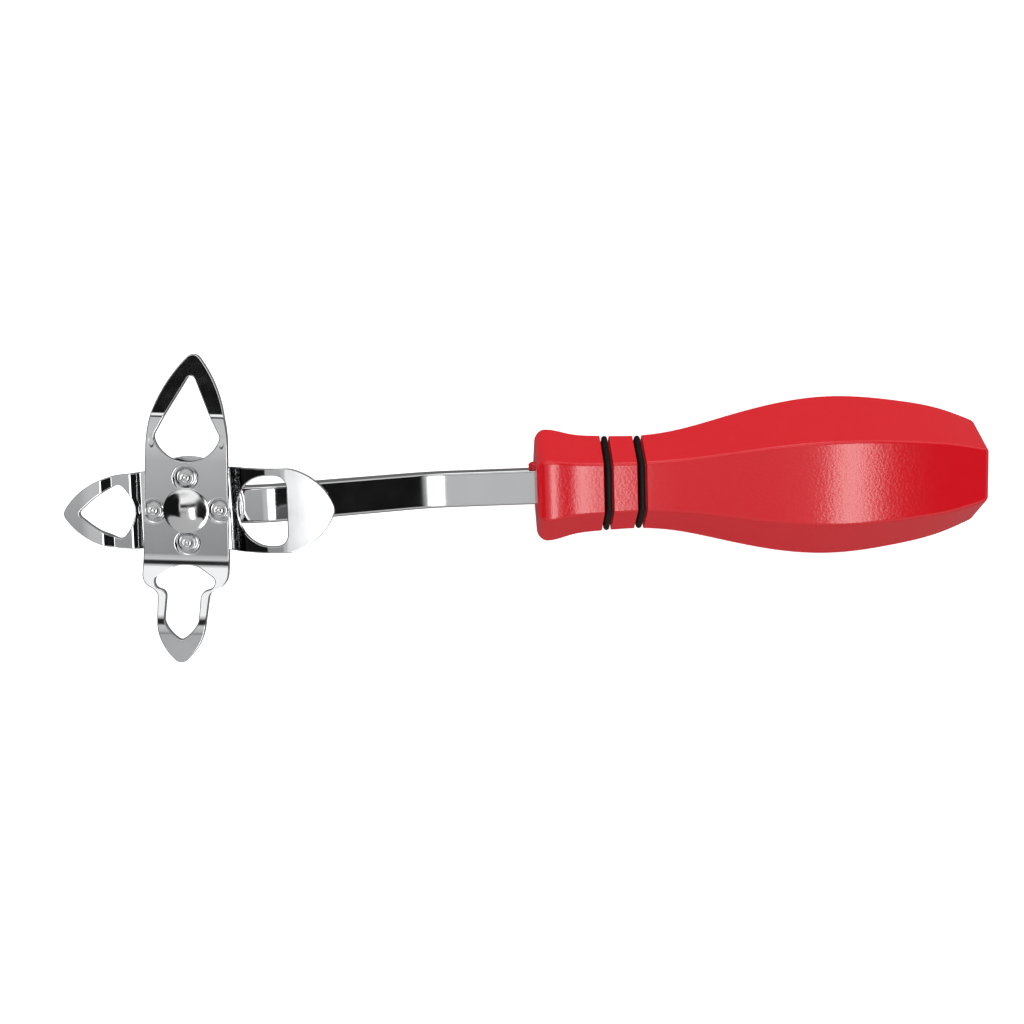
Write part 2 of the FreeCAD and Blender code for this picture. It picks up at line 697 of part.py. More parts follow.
def backing_plate():
    """The round plate behind the blades that the rivets clamp."""
    body = new_body("backing_plate")
    sketch = new_sketch(body, "XY_Plane", "Disc", BACKING_LOW)
    add_circle(sketch, (ZERO, ZERO), S["backing_width"] / 2)
    pad(body, sketch, "DiscPad", S["backing_thickness"])
    drill_for_rivets(body)
    put_on_pivot(body)
    return body


def turned(body, name, outline):
    """Turn a profile drawn on the XZ plane about the upright axis."""
    sketch = new_sketch(body, "XZ_Plane", name)
    add_loop(sketch, outline)
    feature = body.newObject("PartDesign::Revolution", name + "Turned")
    feature.Profile = sketch
    feature.ReferenceAxis = (sketch, ["V_Axis"])
    feature.Angle = 360.0
    DOC.recompute()
    return feature


def cap_radius(half, height):
    """Return the radius of a round cap from its half width and its height."""
    return (half * half + height * height) / (height * 2)


def pivot_rivet():
    """The domed rivet on which the whole head turns."""
    body = new_body("pivot_rivet")
    dome = S["dome_width"] / 2
    shaft = S["pivot_width"] / 2
    tail = S["tail_width"] / 2
    tail_low = WASHER_LOW - S["tail_height"]
    tail_edge = S["tail_edge"]
    turned(body, "Rivet", [
        (ZERO, tail_low, None),
        (tail - tail_edge, tail_low, None),
        (tail, tail_low + tail_edge, None),
        (tail, WASHER_LOW, None),
        (shaft, WASHER_LOW, None),
        (shaft, FRONT_TOP, None),
        (dome, FRONT_TOP, cap_radius(dome, S["dome_height"])),
        (ZERO, FRONT_TOP + S["dome_height"], None),
    ])
    put_on_pivot(body)
    return body


def blade_rivets():
    """The four small rivets that hold the blades and the plate together."""
    rivets = []
    head = S["rivet_head_width"] / 2
    shaft = S["rivet_width"] / 2
    tail = S["rivet_tail_width"] / 2
    seat = FRONT_TOP - S["seat_depth"]
    rim = S["rivet_head_height"] / 2
    tail_low = BACKING_LOW - S["rivet_tail_height"]
    for side, place in zip(("right", "top", "left", "bottom"), rivet_places()):
        body = new_body("blade_rivet_" + side)
        turned(body, "Rivet", [
            (ZERO, tail_low, None),
            (tail, tail_low, None),
            (tail, BACKING_LOW, None),
            (shaft, BACKING_LOW, None),
            (shaft, seat, None),
            (head, seat, None),
            (head, seat + rim, cap_radius(head, S["rivet_head_height"] - rim)),
            (ZERO, seat + S["rivet_head_height"], None),
        ])
        angle = math.radians(S["head_turn"].value)
        x, y = place
        body.Placement = Placement(
            Vector(PIVOT_X.value + x.value * math.cos(angle) - y.value * math.sin(angle),
                   x.value * math.sin(angle) + y.value * math.cos(angle), 0),
            Rotation(Vector(0, 0, 1), S["head_turn"].value))
        turn = "(" + S["head_turn"].text + " * 1deg)"
        body.setExpression(".Placement.Base.x", "%s + %s * cos(%s) - %s * sin(%s)"
                           % (PIVOT_X.text, x.text, turn, y.text, turn))
        body.setExpression(".Placement.Base.y", "%s * sin(%s) + %s * cos(%s)"
                           % (x.text, turn, y.text, turn))
        rivets.append(body)
    return rivets


def back_washer():
    """The washer between the shank and the pivot rivet's tail."""
    body = new_body("back_washer")
    sketch = new_sketch(body, "XY_Plane", "Ring", WASHER_LOW)
    add_circle(sketch, (ZERO, ZERO), S["washer_width"] / 2)
    add_circle(sketch, (ZERO, ZERO), S["pivot_width"] / 2)
    pad(body, sketch, "RingPad", S["washer_thickness"])
    put_on_pivot(body)
    return body


# ---------------------------------------------------------------- the shank

def shank():
    """The cranked flat bar from the head's pivot to inside the handle."""
    body = new_body("shank")
    half = S["bar_thickness"] / 2
    side = new_sketch(body, "XZ_Plane", "EdgeView")
    low, high = add_folded_strip(side, [
        (ZERO, EYE_LOW),
        (S["crank_start"], EYE_LOW),
        (S["crank_end"], -half),
        (S["reach"] + S["tang_length"], -half),
    ], S["bar_thickness"])
    pad(body, side, "Bar", S["bar_width"], both=True)
    across = Vector(0, 1, 0)
    inner = S["crank_bend"]
    round_edges(body, "BendInside", on_folds([low[1], high[2]], across, over_x), inner)
    round_edges(body, "BendOutside", on_folds([high[1], low[2]], across, over_x),
                inner + S["bar_thickness"])

    def is_long_edge(edge):
        return not runs_along(edge, across) and edge.BoundBox.XLength > S["bar_round"].value

    round_edges(body, "LongEdges", is_long_edge, S["bar_round"])
    eye = new_sketch(body, "XY_Plane", "Eye", EYE_LOW)
    add_circle(eye, (ZERO, ZERO), S["eye_width"] / 2)
    pad(body, eye, "EyePad", S["bar_thickness"])
    bore = new_sketch(body, "XY_Plane", "Bore")
    add_circle(bore, (ZERO, ZERO), S["pivot_width"] / 2 + S["pivot_play"])
    cut_through(body, bore, "BoreCut")
    pip = new_sketch(body, "XY_Plane", "PipHole", EYE_TOP)
    add_circle(pip, (-S["pip_place"], ZERO), S["pip_width"] / 2 + S["pip_play"])
    before = body.Shape.Volume
    hole = body.newObject("PartDesign::Pocket", "PipHoleCut")
    hole.Profile = pip
    bind(hole, "Length", S["pip_depth"] + S["pip_bottom"])
    DOC.recompute()
    if body.Shape.Volume >= before:
        raise ValueError("the pip's hole cuts nothing")
    put_on_eye(body)
    return body


def index_spring():
    """The leaf that clicks over the tail of whichever rivet is on the shank."""
    body = new_body("index_spring")
    margin = S["blank_spare"]
    side = new_sketch(body, "XZ_Plane", "EdgeView")
    lifted = EYE_TOP + S["leaf_lift"]
    add_folded_strip(side, [
        (-(S["leaf_hub"] + margin), EYE_TOP),
        (S["leaf_hub"] - margin, EYE_TOP),
        (S["leaf_hub"], lifted),
        (S["leaf_reach"] + margin, lifted),
    ], S["leaf_thickness"])
    pad(body, side, "Leaf", S["leaf_hub"] * 2 + margin, both=True)
    half = S["leaf_width"] / 2
    trim_to_outline(body, mirrored([
        (S["leaf_reach"], ZERO, None),
        (S["leaf_reach"], half, None),
        (ZERO, half, None),
        (ZERO, S["leaf_hub"], S["leaf_hub"]),
        (-S["leaf_hub"], ZERO, None),
    ], axis=1))
    holes = new_sketch(body, "XY_Plane", "Holes")
    add_circle(holes, (ZERO, ZERO), S["pivot_width"] / 2 + S["pivot_play"])
    add_circle(holes, (S["rivet_circle"], ZERO), S["leaf_window"] / 2)
    cut_through(body, holes, "HolesCut")
    pip = new_sketch(body, "XY_Plane", "Pip", EYE_TOP - S["pip_depth"])
    add_circle(pip, (-S["pip_place"], ZERO), S["pip_width"] / 2)
    pad(body, pip, "PipPad", S["pip_depth"] + S["leaf_thickness"])
    put_on_eye(body)
    return body


# ---------------------------------------------------------------- the handle

def along_x(item, place):
    """Lay an upright primitive along +X, starting at a place."""
    item.Placement = Placement(Vector(place.value, 0, 0), Rotation(Vector(0, 1, 0), 90))
    bind(item, ".Placement.Base.x", place)


def hexagon(name, place, width):
    """A six-sided section across the handle, with corners to both sides."""
    item = DOC.addObject("Part::RegularPolygon", name)
    item.Polygon = 6
    bind(item, "Circumradius", width / 2)
    item.Placement = Placement(Vector(place.value, 0, 0), SIX_SIDED)
    bind(item, ".Placement.Base.x", place)
    return item


# Turns a flat six-sided outline so that it faces +X with corners at +Y and -Y.
SIX_SIDED = Rotation(Vector(0, 1, 0), Vector(0, 0, 1), Vector(1, 0, 0), "XYZ")

STATIONS = ["flare", "throat", "neck", "waist", "shoulder", "rise", "palm", "belly",
            "heel", "taper"]


def width_at(name, shape, place):
    """Return half the distance between the handle's flats at a place."""
    cut = shape.slice(Vector(1, 0, 0), place)
    if len(cut) != 1:
        raise ValueError(name + " finds no single section")
    return cut[0].BoundBox.ZMax


def groove_cutter(name, middle, floor):
    """A collar with a six-sided inside that cuts one ring groove."""
    start = middle - S["groove_width"] / 2
    outer = DOC.addObject("Part::Cylinder", name + "Outer")
    bind(outer, "Radius", S["belly_width"])
    bind(outer, "Height", S["groove_width"])
    along_x(outer, start)
    inner = DOC.addObject("Part::Prism", name + "Floor")
    inner.Polygon = 6
    inner.Circumradius = floor / HEX_FLAT
    bind(inner, "Height", S["groove_width"])
    inner.Placement = Placement(Vector(start.value, 0, 0), SIX_SIDED)
    bind(inner, ".Placement.Base.x", start)
    collar = DOC.addObject("Part::Cut", name + "Collar")
    collar.Base = outer
    collar.Tool = inner
    return collar


def handle_grip():
    """The moulded six-sided handle, its ring grooves and the shank's socket."""
    sections = [hexagon("FrontSection", FRONT_X, S["front_width"])]
    for station in STATIONS:
        place = FRONT_X + S[station + "_place"]
        sections.append(hexagon(station.title() + "Section", place, S[station + "_width"]))
    sections.append(hexagon("ButtSection", ZERO, S["butt_width"]))
    loft = DOC.addObject("Part::Loft", "HandleLoft")
    loft.Sections = sections
    loft.Solid = True
    loft.Ruled = False
    DOC.recompute()
    rounded = DOC.addObject("Part::Fillet", "HandleRounded")
    rounded.Base = loft
    rounds = []
    for index, edge in enumerate(loft.Shape.Edges, start=1):
        box = edge.BoundBox
        if box.XLength > NEAR:
            radius = S["crease_round"].value
        elif box.XMax < FRONT_X.value / 2:
            radius = S["front_round"].value
        else:
            radius = S["butt_round"].value
        rounds.append((index, radius, radius))
    rounded.Edges = rounds
    DOC.recompute()
    socket = DOC.addObject("Part::Box", "Socket")
    bind(socket, "Length", S["tang_length"])
    bind(socket, "Width", S["bar_width"])
    bind(socket, "Height", S["bar_thickness"])
    bind(socket, ".Placement.Base.x", FRONT_X)
    bind(socket, ".Placement.Base.y", -S["bar_width"] / 2)
    bind(socket, ".Placement.Base.z", -S["bar_thickness"] / 2)
    DOC.recompute()
    softened = DOC.addObject("Part::Fillet", "SocketRounded")
    softened.Base = socket
    softened.Edges = [(index, S["bar_round"].value, S["bar_round"].value)
                      for index, edge in enumerate(socket.Shape.Edges, start=1)
                      if runs_along(edge, Vector(1, 0, 0))]
    cutters = [softened]
    rings = []
    for side in ("front", "rear"):
        middle = FRONT_X + S[side + "_groove_place"]
        flat = width_at(side + " groove", loft.Shape, middle.value)
        floor = flat - S["groove_depth"].value
        cutters.append(groove_cutter(side.title() + "Groove", middle, floor))
        rings.append(grip_ring(side + "_ring", middle, floor))
    tools = DOC.addObject("Part::MultiFuse", "HandleCutters")
    tools.Shapes = cutters
    grip = DOC.addObject("Part::Cut", "handle_grip")
    grip.Label = "handle_grip"
    grip.Base = rounded
    grip.Tool = tools
    DOC.recompute()
    return [grip] + rings


def grip_ring(label, middle, floor):
    """A rubber ring of round section stretched over a six-sided groove floor."""
    cord = S["cord_width"].value / 2
    bend = S["ring_corner"].value
    flat = floor + cord
    lean = (flat - bend) / HEX_FLAT
    edges = []
    previous = None
    first = None
    for side in range(6):
        turn = math.radians(60 * side)
        centre = Vector(0, lean * math.cos(turn), lean * math.sin(turn))

        def on_bend(angle):
            return centre + Vector(0, math.cos(angle), math.sin(angle)) * bend

        start = on_bend(turn - math.pi / 6)
        end = on_bend(turn + math.pi / 6)
        if previous is not None:
            edges.append(Part.LineSegment(previous, start).toShape())
        else:
            first = start
        edges.append(Part.Arc(start, on_bend(turn), end).toShape())
        previous = end
    edges.append(Part.LineSegment(previous, first).toShape())
    path = Part.Wire(edges)
    along = (edges[0].valueAt(edges[0].FirstParameter + NEAR) - first).normalize()
    section = Part.Wire(Part.Circle(first, along, cord).toShape())
    item = DOC.addObject("Part::Feature", label)
    item.Label = label
    item.Shape = path.makePipeShell([section], True, True)
    item.Placement = Placement(Vector(middle.value, 0, 0), Rotation())
    return item


# ---------------------------------------------------------------- output

def check_and_write(pieces):
    """Refuse a failed object or a bad solid, then write one file a node."""
    DOC.recompute()
    for item in DOC.Objects:
        if "Invalid" in item.State or "Error" in item.State:
            raise RuntimeError(item.Name + " failed: " + str(item.State))
    for piece in pieces:
        shape = piece.Shape
        if shape.isNull() or not shape.isValid():
            raise RuntimeError(piece.Label + " is not a valid shape")
        if len(shape.Solids) != 1:
            raise RuntimeError(piece.Label + " is not one solid")
    os.makedirs("parts", exist_ok=True)
    for piece in pieces:
        piece.Shape.exportStep("parts/" + piece.Label + ".step")
        print("%-20s %8.1f mm3" % (piece.Label, piece.Shape.Volume))


PIECES = handle_grip()
PIECES += [shank(), index_spring(), front_blade(), rear_blade(), backing_plate()]
PIECES += [pivot_rivet(), back_washer()]
PIECES += blade_rivets()
check_and_write(PIECES)
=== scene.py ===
"""The looks of a hand lever opener whose four-arm head swivels on a cranked bar.

Sizes are in millimetres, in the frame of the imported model: the origin is the middle
of the handle's flat butt, +X runs along the handle and out of the butt, +Y runs
across the tool and +Z is up, out of the front of the head. Pieces of the head are
worked out about the pivot and then put there, turned by the play of the click stop.
"""
import logging
import math
from dataclasses import dataclass, field, replace
from enum import Enum

import bpy
import numpy as np
from mathutils import Matrix, Vector
from mathutils.geometry import delaunay_2d_cdt


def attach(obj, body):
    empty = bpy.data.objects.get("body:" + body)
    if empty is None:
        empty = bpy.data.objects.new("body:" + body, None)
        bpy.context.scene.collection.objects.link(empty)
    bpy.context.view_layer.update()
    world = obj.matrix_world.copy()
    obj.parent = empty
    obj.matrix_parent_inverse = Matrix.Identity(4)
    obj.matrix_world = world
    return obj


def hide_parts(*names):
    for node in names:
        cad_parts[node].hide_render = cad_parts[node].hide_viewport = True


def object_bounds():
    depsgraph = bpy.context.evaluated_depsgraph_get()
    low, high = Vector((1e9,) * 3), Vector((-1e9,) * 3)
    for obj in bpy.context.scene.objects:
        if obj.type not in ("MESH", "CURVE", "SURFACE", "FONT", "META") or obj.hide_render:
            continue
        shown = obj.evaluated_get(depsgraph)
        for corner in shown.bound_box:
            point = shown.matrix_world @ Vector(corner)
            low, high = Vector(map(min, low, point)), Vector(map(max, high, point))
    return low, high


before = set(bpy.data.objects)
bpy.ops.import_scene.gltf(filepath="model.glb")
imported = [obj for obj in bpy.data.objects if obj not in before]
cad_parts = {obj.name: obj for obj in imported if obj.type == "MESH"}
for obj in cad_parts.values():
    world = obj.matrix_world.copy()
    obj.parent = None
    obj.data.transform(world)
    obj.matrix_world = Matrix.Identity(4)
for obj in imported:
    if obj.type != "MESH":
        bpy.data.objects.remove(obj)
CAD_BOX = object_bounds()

LOG = logging.getLogger("lever_opener")

Array = np.ndarray
MM = 0.001
TINY = 1e-6
WELD = 1e-4
CHUNK = 2000
SHARPEST_BEND = 0.02
DRILLED_EDGE = 0.03
RIM_ROWS = 5
LOOP_PASSES = 5
LATHE_PASSES = 4


class Body(Enum):
    """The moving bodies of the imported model."""

    HANDLE = "handle"
    HEAD = "head"


class Slot(Enum):
    """The material slots that the record names."""

    GRIP = "grip_plastic"
    RING = "ring_rubber"
    SHANK = "shank_chrome"
    BLADE = "blade_chrome"
    BACKING = "backing_chrome"
    RIVET = "rivet_steel"
    SPRING = "spring_steel"
    WASHER = "washer_steel"


# ------------------------------------------------------------------ surfaces

@dataclass
class Shell:
    """A surface as arrays: points and normals of shape (N, 3), triangles of (M, 3)."""

    points: Array
    normals: Array
    triangles: Array

    def flipped(self) -> "Shell":
        """Return the shell with its faces and normals turned round."""
        return Shell(self.points, -self.normals, self.triangles[:, ::-1])

    def moved(self, turn: Matrix, shift: tuple[float, float, float]) -> "Shell":
        """Turn the shell and then shift it.

        Args:
            turn: A 3 x 3 rotation.
            shift: The shift in millimetres.

        Returns:
            The shell in its new place.
        """
        spin = np.array(turn, float).T
        return Shell(self.points @ spin + np.array(shift), self.normals @ spin, self.triangles)

    def standing(self) -> "Shell":
        """Return the shell with its own (a, b, up) axes laid on (Y, Z, X)."""
        order = [2, 0, 1]
        return Shell(self.points[:, order], self.normals[:, order], self.triangles)


def joined(shells: list[Shell]) -> Shell:
    """Join shells, weld points that share a place and drop faces of no area.

    Args:
        shells: The shells whose rims meet point for point.

    Returns:
        One closed shell. A welded point keeps the normal of its first copy.
    """
    starts = np.cumsum([0] + [len(shell.points) for shell in shells[:-1]])
    points = np.vstack([shell.points for shell in shells])
    normals = np.vstack([shell.normals for shell in shells])
    triangles = np.vstack([s.triangles + start for s, start in zip(shells, starts)])
    keys = np.round(points / WELD).astype(np.int64)
    _, first, place = np.unique(keys, axis=0, return_index=True, return_inverse=True)
    triangles = place.reshape(-1)[triangles]
    a, b, c = triangles.T
    triangles = triangles[(a != b) & (b != c) & (c != a)]
    return Shell(points[first], normals[first], triangles)


def unit(vectors: Array) -> Array:
    """Return vectors scaled to length 1, along the last axis."""
    return vectors / np.maximum(np.linalg.norm(vectors, axis=-1, keepdims=True), TINY)


def woven(points: Array, normals: Array, close_rows: bool = False) -> Shell:
    """Turn a grid of points into a shell whose columns close on themselves.

    Args:
        points: Grid of shape (rows, columns, 3). Columns run round and rows run up,
            and the outside is column direction crossed with row direction.
        normals: Grid of the same shape.
        close_rows: Whether the last row joins the first, as on a ring.

    Returns:
        The shell, two triangles to a cell.
    """
    rows, columns = points.shape[:2]
    index = np.arange(rows * columns).reshape(rows, columns)
    right = np.roll(index, -1, axis=1)
    upper = np.roll(index, -1, axis=0)
    corner = np.roll(right, -1, axis=0)
    last = rows if close_rows else rows - 1
    low = np.stack([index, right, corner], axis=-1)[:last].reshape(-1, 3)
    high = np.stack([index, corner, upper], axis=-1)[:last].reshape(-1, 3)
    return Shell(points.reshape(-1, 3), normals.reshape(-1, 3), np.vstack([low, high]))


def resampled(points: Array, step: float, closed: bool) -> Array:
    """Return a path or loop with its points an even arc length apart.

    Args:
        points: Path of shape (N, 2).
        step: Wanted distance between neighbours.
        closed: Whether the path is a loop. A loop doesn't repeat its first point.

    Returns:
        The resampled path.
    """
    path = np.vstack([points, points[:1]]) if closed else points
    along = np.concatenate([[0.0], np.cumsum(np.linalg.norm(np.diff(path, axis=0), axis=1))])
    count = max(int(round(along[-1] / step)), 8)
    places = np.linspace(0.0, along[-1], count + 1)
    even = np.column_stack([np.interp(places, along, path[:, axis]) for axis in range(2)])
    return even[:-1] if closed else even


def softened(points: Array, passes: int, closed: bool) -> Array:
    """Round a path's corners: each pass is a running mean weighted 1, 2, 1.

    Args:
        points: Path of shape (N, 2).
        passes: How often the mean is taken.
        closed: Whether the path is a loop. An open path keeps its ends.

    Returns:
        The softened path.
    """
    for _ in range(passes):
        mean = (np.roll(points, 1, axis=0) + points * 2 + np.roll(points, -1, axis=0)) / 4
        if not closed:
            mean[0], mean[-1] = points[0], points[-1]
        points = mean
    return points


def tangents(points: Array, closed: bool) -> Array:
    """Return the unit directions of a path from the points to both sides."""
    if closed:
        return unit(np.roll(points, -1, axis=0) - np.roll(points, 1, axis=0))
    return unit(np.gradient(points, axis=0))


def rightward(directions: Array) -> Array:
    """Return directions turned a quarter to the right."""
    return np.column_stack([directions[:, 1], -directions[:, 0]])


def inside(points: Array, loops: list[Array]) -> Array:
    """Say which points lie inside an odd number of loops.

    A ray goes from each point towards +x, and its crossings with the loops' sides
    are counted.

    Args:
        points: Points of shape (N, 2).
        loops: Closed loops of shape (K, 2).

    Returns:
        Mask of shape (N,).
    """
    start = np.vstack(loops)
    end = np.vstack([np.roll(loop, -1, axis=0) for loop in loops])
    rise = np.where(np.abs(end[:, 1] - start[:, 1]) < TINY, TINY, end[:, 1] - start[:, 1])
    found = []
    for first in range(0, len(points), CHUNK):
        x, y = points[first:first + CHUNK].T[:, :, None]
        spans = (start[:, 1] > y) != (end[:, 1] > y)
        meets = start[:, 0] + (y - start[:, 1]) * (end[:, 0] - start[:, 0]) / rise
        found.append(np.count_nonzero(spans & (x < meets), axis=1) % 2 == 1)
    return np.concatenate(found)


def clear_of(points: Array, others: Array, gap: float) -> Array:
    """Return the points that are farther than gap from all the others."""
    keep = []
    for first in range(0, len(points), CHUNK):
        part = points[first:first + CHUNK]
        apart = np.linalg.norm(part[:, None] - others[None], axis=2).min(axis=1)
        keep.append(part[apart > gap])
    return np.vstack(keep)


def filled(loops: list[Array], extra: Array) -> tuple[Array, Array]:
    """Fill the area inside the first loop and outside the others with triangles.

    Args:
        loops: The outer loop and then the loops of the openings.
        extra: More points of shape (N, 2) to use between them.

    Returns:
        Points of shape (K, 2) and anticlockwise triangles of shape (M, 3).
    """
    points = np.vstack(loops + [extra])
    sides = []
    start = 0
    for loop in loops:
        index = np.arange(len(loop))
        sides.append(np.column_stack([start + index, start + np.roll(index, -1)]))
        start += len(loop)
    made = delaunay_2d_cdt([Vector(p) for p in points.tolist()], np.vstack(sides).tolist(),
                           [], 0, TINY)
    flat = np.array([tuple(p) for p in made[0]])
    triangles = np.array(made[2])
    triangles = triangles[inside(flat[triangles].mean(axis=1), loops)]
    a, b, c = flat[triangles].transpose(1, 0, 2)
    ab, ac = b - a, c - a
    twisted = ab[:, 0] * ac[:, 1] - ab[:, 1] * ac[:, 0] < 0
    triangles[twisted] = triangles[twisted][:, ::-1]
    return flat, triangles


def lathed(profile: Array, centre: tuple[float, float], columns: int = 72,
           closed: bool = False) -> Shell:
    """Turn a profile about an upright axis.

    The point at angle t and profile place (r, z) is (r cos t, r sin t, z).

    Args:
        profile: Path of shape (N, 2) of radius and height, from its low end to its
            high end round the outside.
        centre: Where the axis stands.
        columns: Number of steps round.
        closed: Whether the profile is a loop, as on a washer.

    Returns:
        The shell.
    """
    angle = np.linspace(0.0, 2 * math.pi, columns, endpoint=False)
    outward = rightward(tangents(profile, closed))
    if not closed:
        outward[0], outward[-1] = (0.0, -1.0), (0.0, 1.0)
    ring = np.stack([np.cos(angle), np.sin(angle)], axis=1)
    shape = (len(profile), columns, 1)
    points = np.concatenate([
        profile[:, None, :1] * ring + np.array(centre),
        np.broadcast_to(profile[:, None, 1:], shape)], axis=2)
    normals = np.concatenate([
        outward[:, None, :1] * ring, np.broadcast_to(outward[:, None, 1:], shape)], axis=2)
    return joined([woven(points, unit(normals), close_rows=closed)])


# ------------------------------------------------------------------ outlines

@dataclass(frozen=True)
class Corner:
    """A corner of an outline and the radius of the arc to the next corner.

    The arc runs anticlockwise where bow is positive, and is straight where it is 0.
    """

    x: float
    y: float
    bow: float = 0.0


class Axis(Enum):
    """The axis that an outline or an arm runs along."""

    X = 0
    Y = 1


def arc_centre(start: Array, end: Array, bow: float) -> Array:
    """Return the centre of the arc of radius bow from start to end."""
    chord = end - start
    half = np.linalg.norm(chord) / 2
    across = np.array([-chord[1], chord[0]]) / (half * 2)
    return (start + end) / 2 + across * math.copysign(math.sqrt(max(bow * bow - half * half, 0)),
                                                      bow)


def traced(corners: list[Corner], step: float = 0.05) -> Array:
    """Return the dense closed loop through corners, as arcs and straight lines."""
    parts = []
    for corner, following in zip(corners, corners[1:] + corners[:1]):
        start = np.array([corner.x, corner.y])
        end = np.array([following.x, following.y])
        share = np.linspace(0.0, 1.0, max(int(np.linalg.norm(end - start) / step), 4),
                            endpoint=False)[:, None]
        if corner.bow == 0.0:
            parts.append(start + (end - start) * share)
            continue
        centre = arc_centre(start, end, corner.bow)
        first = math.atan2(*(start - centre)[::-1])
        last = math.atan2(*(end - centre)[::-1])
        sweep = (last - first) % (2 * math.pi)
        sweep = sweep if corner.bow > 0 else sweep - 2 * math.pi
        angle = first + sweep * share
        parts.append(centre + np.hstack([np.cos(angle), np.sin(angle)]) * abs(corner.bow))
    return np.vstack(parts)


def mirrored(half: list[Corner], axis: Axis) -> list[Corner]:
    """Close half an outline over the axis that both its ends lie on.

    Args:
        half: Corners from one end on the axis to the other end on it.
        axis: The axis of symmetry.

    Returns:
        The whole outline.
    """
    whole = list(half)
    whole[-1] = Corner(half[-1].x, half[-1].y, half[-2].bow)
    for index in range(len(half) - 2, 0, -1):
        x, y = half[index].x, half[index].y
        x, y = (x, -y) if axis is Axis.X else (-x, y)
        whole.append(Corner(x, y, half[index - 1].bow))
    return whole


def blunted(tip: Corner, side: Corner, bow: float, radius: float) -> tuple[Corner, Corner]:
    """Round a pointed tip that an arc and its mirror image make on an axis.

    The small circle sits on the axis and touches the arc from inside, so its centre
    is bow - radius from the arc's centre.

    Args:
        tip: The sharp tip, on the axis.
        side: The arc's other end.
        bow: The arc's radius.
        radius: Radius of the round tip.

    Returns:
        The round tip's middle and the place where it meets the arc.
    """
    sharp, other = np.array([tip.x, tip.y]), np.array([side.x, side.y])
    on_y = abs(tip.x) < TINY
    forward = np.array([0.0, math.copysign(1, tip.y)] if on_y else [math.copysign(1, tip.x), 0.0])
    ends = [arc_centre(sharp, other, bow), arc_centre(other, sharp, bow)]
    centre = min(ends, key=lambda c: np.linalg.norm(c))
    aside = centre[0] if on_y else centre[1]
    ahead = math.sqrt((bow - radius) ** 2 - aside * aside)
    small = forward * (centre @ forward + ahead)
    meet = centre + unit(small - centre) * bow
    top = small + forward * radius
    return Corner(top[0], top[1]), Corner(meet[0], meet[1])


# ------------------------------------------------------------------ folded sheet

@dataclass(frozen=True)
class FoldLine:
    """One face of a folded strip seen edge on: height along the strip.

    The height is a straight line plus, for each fold, the change of slope times a
    ramp that is 0 before the fold, s after it and (s + L)^2 / 4L within L of it.
    """

    places: Array
    heights: Array
    reaches: Array

    def changes(self) -> Array:
        """Return the change of slope at each inner corner."""
        return np.diff(np.diff(self.heights) / np.diff(self.places))

    def height(self, s: Array) -> Array:
        """Return the height at places s along the strip."""
        first = (self.heights[1] - self.heights[0]) / (self.places[1] - self.places[0])
        level = self.heights[0] + first * (s - self.places[0])
        for place, change, reach in zip(self.places[1:-1], self.changes(), self.reaches):
            near = np.clip(s - place, -reach, reach)
            level = level + change * ((near + reach) ** 2 / (4 * reach)
                                      + np.maximum(s - place - reach, 0.0))
        return level

    def slope(self, s: Array) -> Array:
        """Return the slope at places s along the strip."""
        lean = np.full(np.shape(s), (self.heights[1] - self.heights[0])
                       / (self.places[1] - self.places[0]))
        for place, change, reach in zip(self.places[1:-1], self.changes(), self.reaches):
            lean = lean + change * np.clip((s - place + reach) / (2 * reach), 0.0, 1.0)
        return lean


@dataclass(frozen=True)
class Fold:
    """A corner of a folded strip's lower face, with the bend's inner radius."""

    place: float
    height: float
    inner: float = 0.0


def strip_faces(folds: list[Fold], thickness: float) -> tuple[FoldLine, FoldLine]:
    """Work out both faces of a folded strip of even thickness.

    Each upper corner stands off its lower one along the bisector of the fold, by
    thickness over the cosine of half the fold. A bend of radius R that turns by A
    reaches R tan(A / 2) to both sides.

    Args:
        folds: The lower face's corners from its start to its end.
        thickness: Thickness of the sheet.

    Returns:
        The lower face and the upper face.
    """
    low = np.array([[fold.place, fold.height] for fold in folds])
    along = unit(np.diff(low, axis=0))
    across = np.column_stack([-along[:, 1], along[:, 0]])
    bisected = (across[:-1] + across[1:]) / (1 + np.sum(across[:-1] * across[1:], axis=1))[:, None]
    ends = np.array([[0.0, 1 / across[0, 1]], [0.0, 1 / across[-1, 1]]])
    high = low + np.vstack([ends[:1], bisected, ends[1:]]) * thickness
    turn = along[:-1, 0] * along[1:, 1] - along[:-1, 1] * along[1:, 0]
    half_turn = np.tan(np.arcsin(np.clip(np.abs(turn), 0, 1)) / 2)
    level = (along[:-1, 0] + along[1:, 0]) / 2
    inner = np.array([fold.inner for fold in folds[1:-1]])
    tight = np.maximum(inner * half_turn * level, SHARPEST_BEND)
    wide = np.maximum((inner + thickness) * half_turn * level, SHARPEST_BEND)
    climbs = turn > 0
    return (FoldLine(low[:, 0], low[:, 1], np.where(climbs, wide, tight)),
            FoldLine(high[:, 0], high[:, 1], np.where(climbs, tight, wide)))


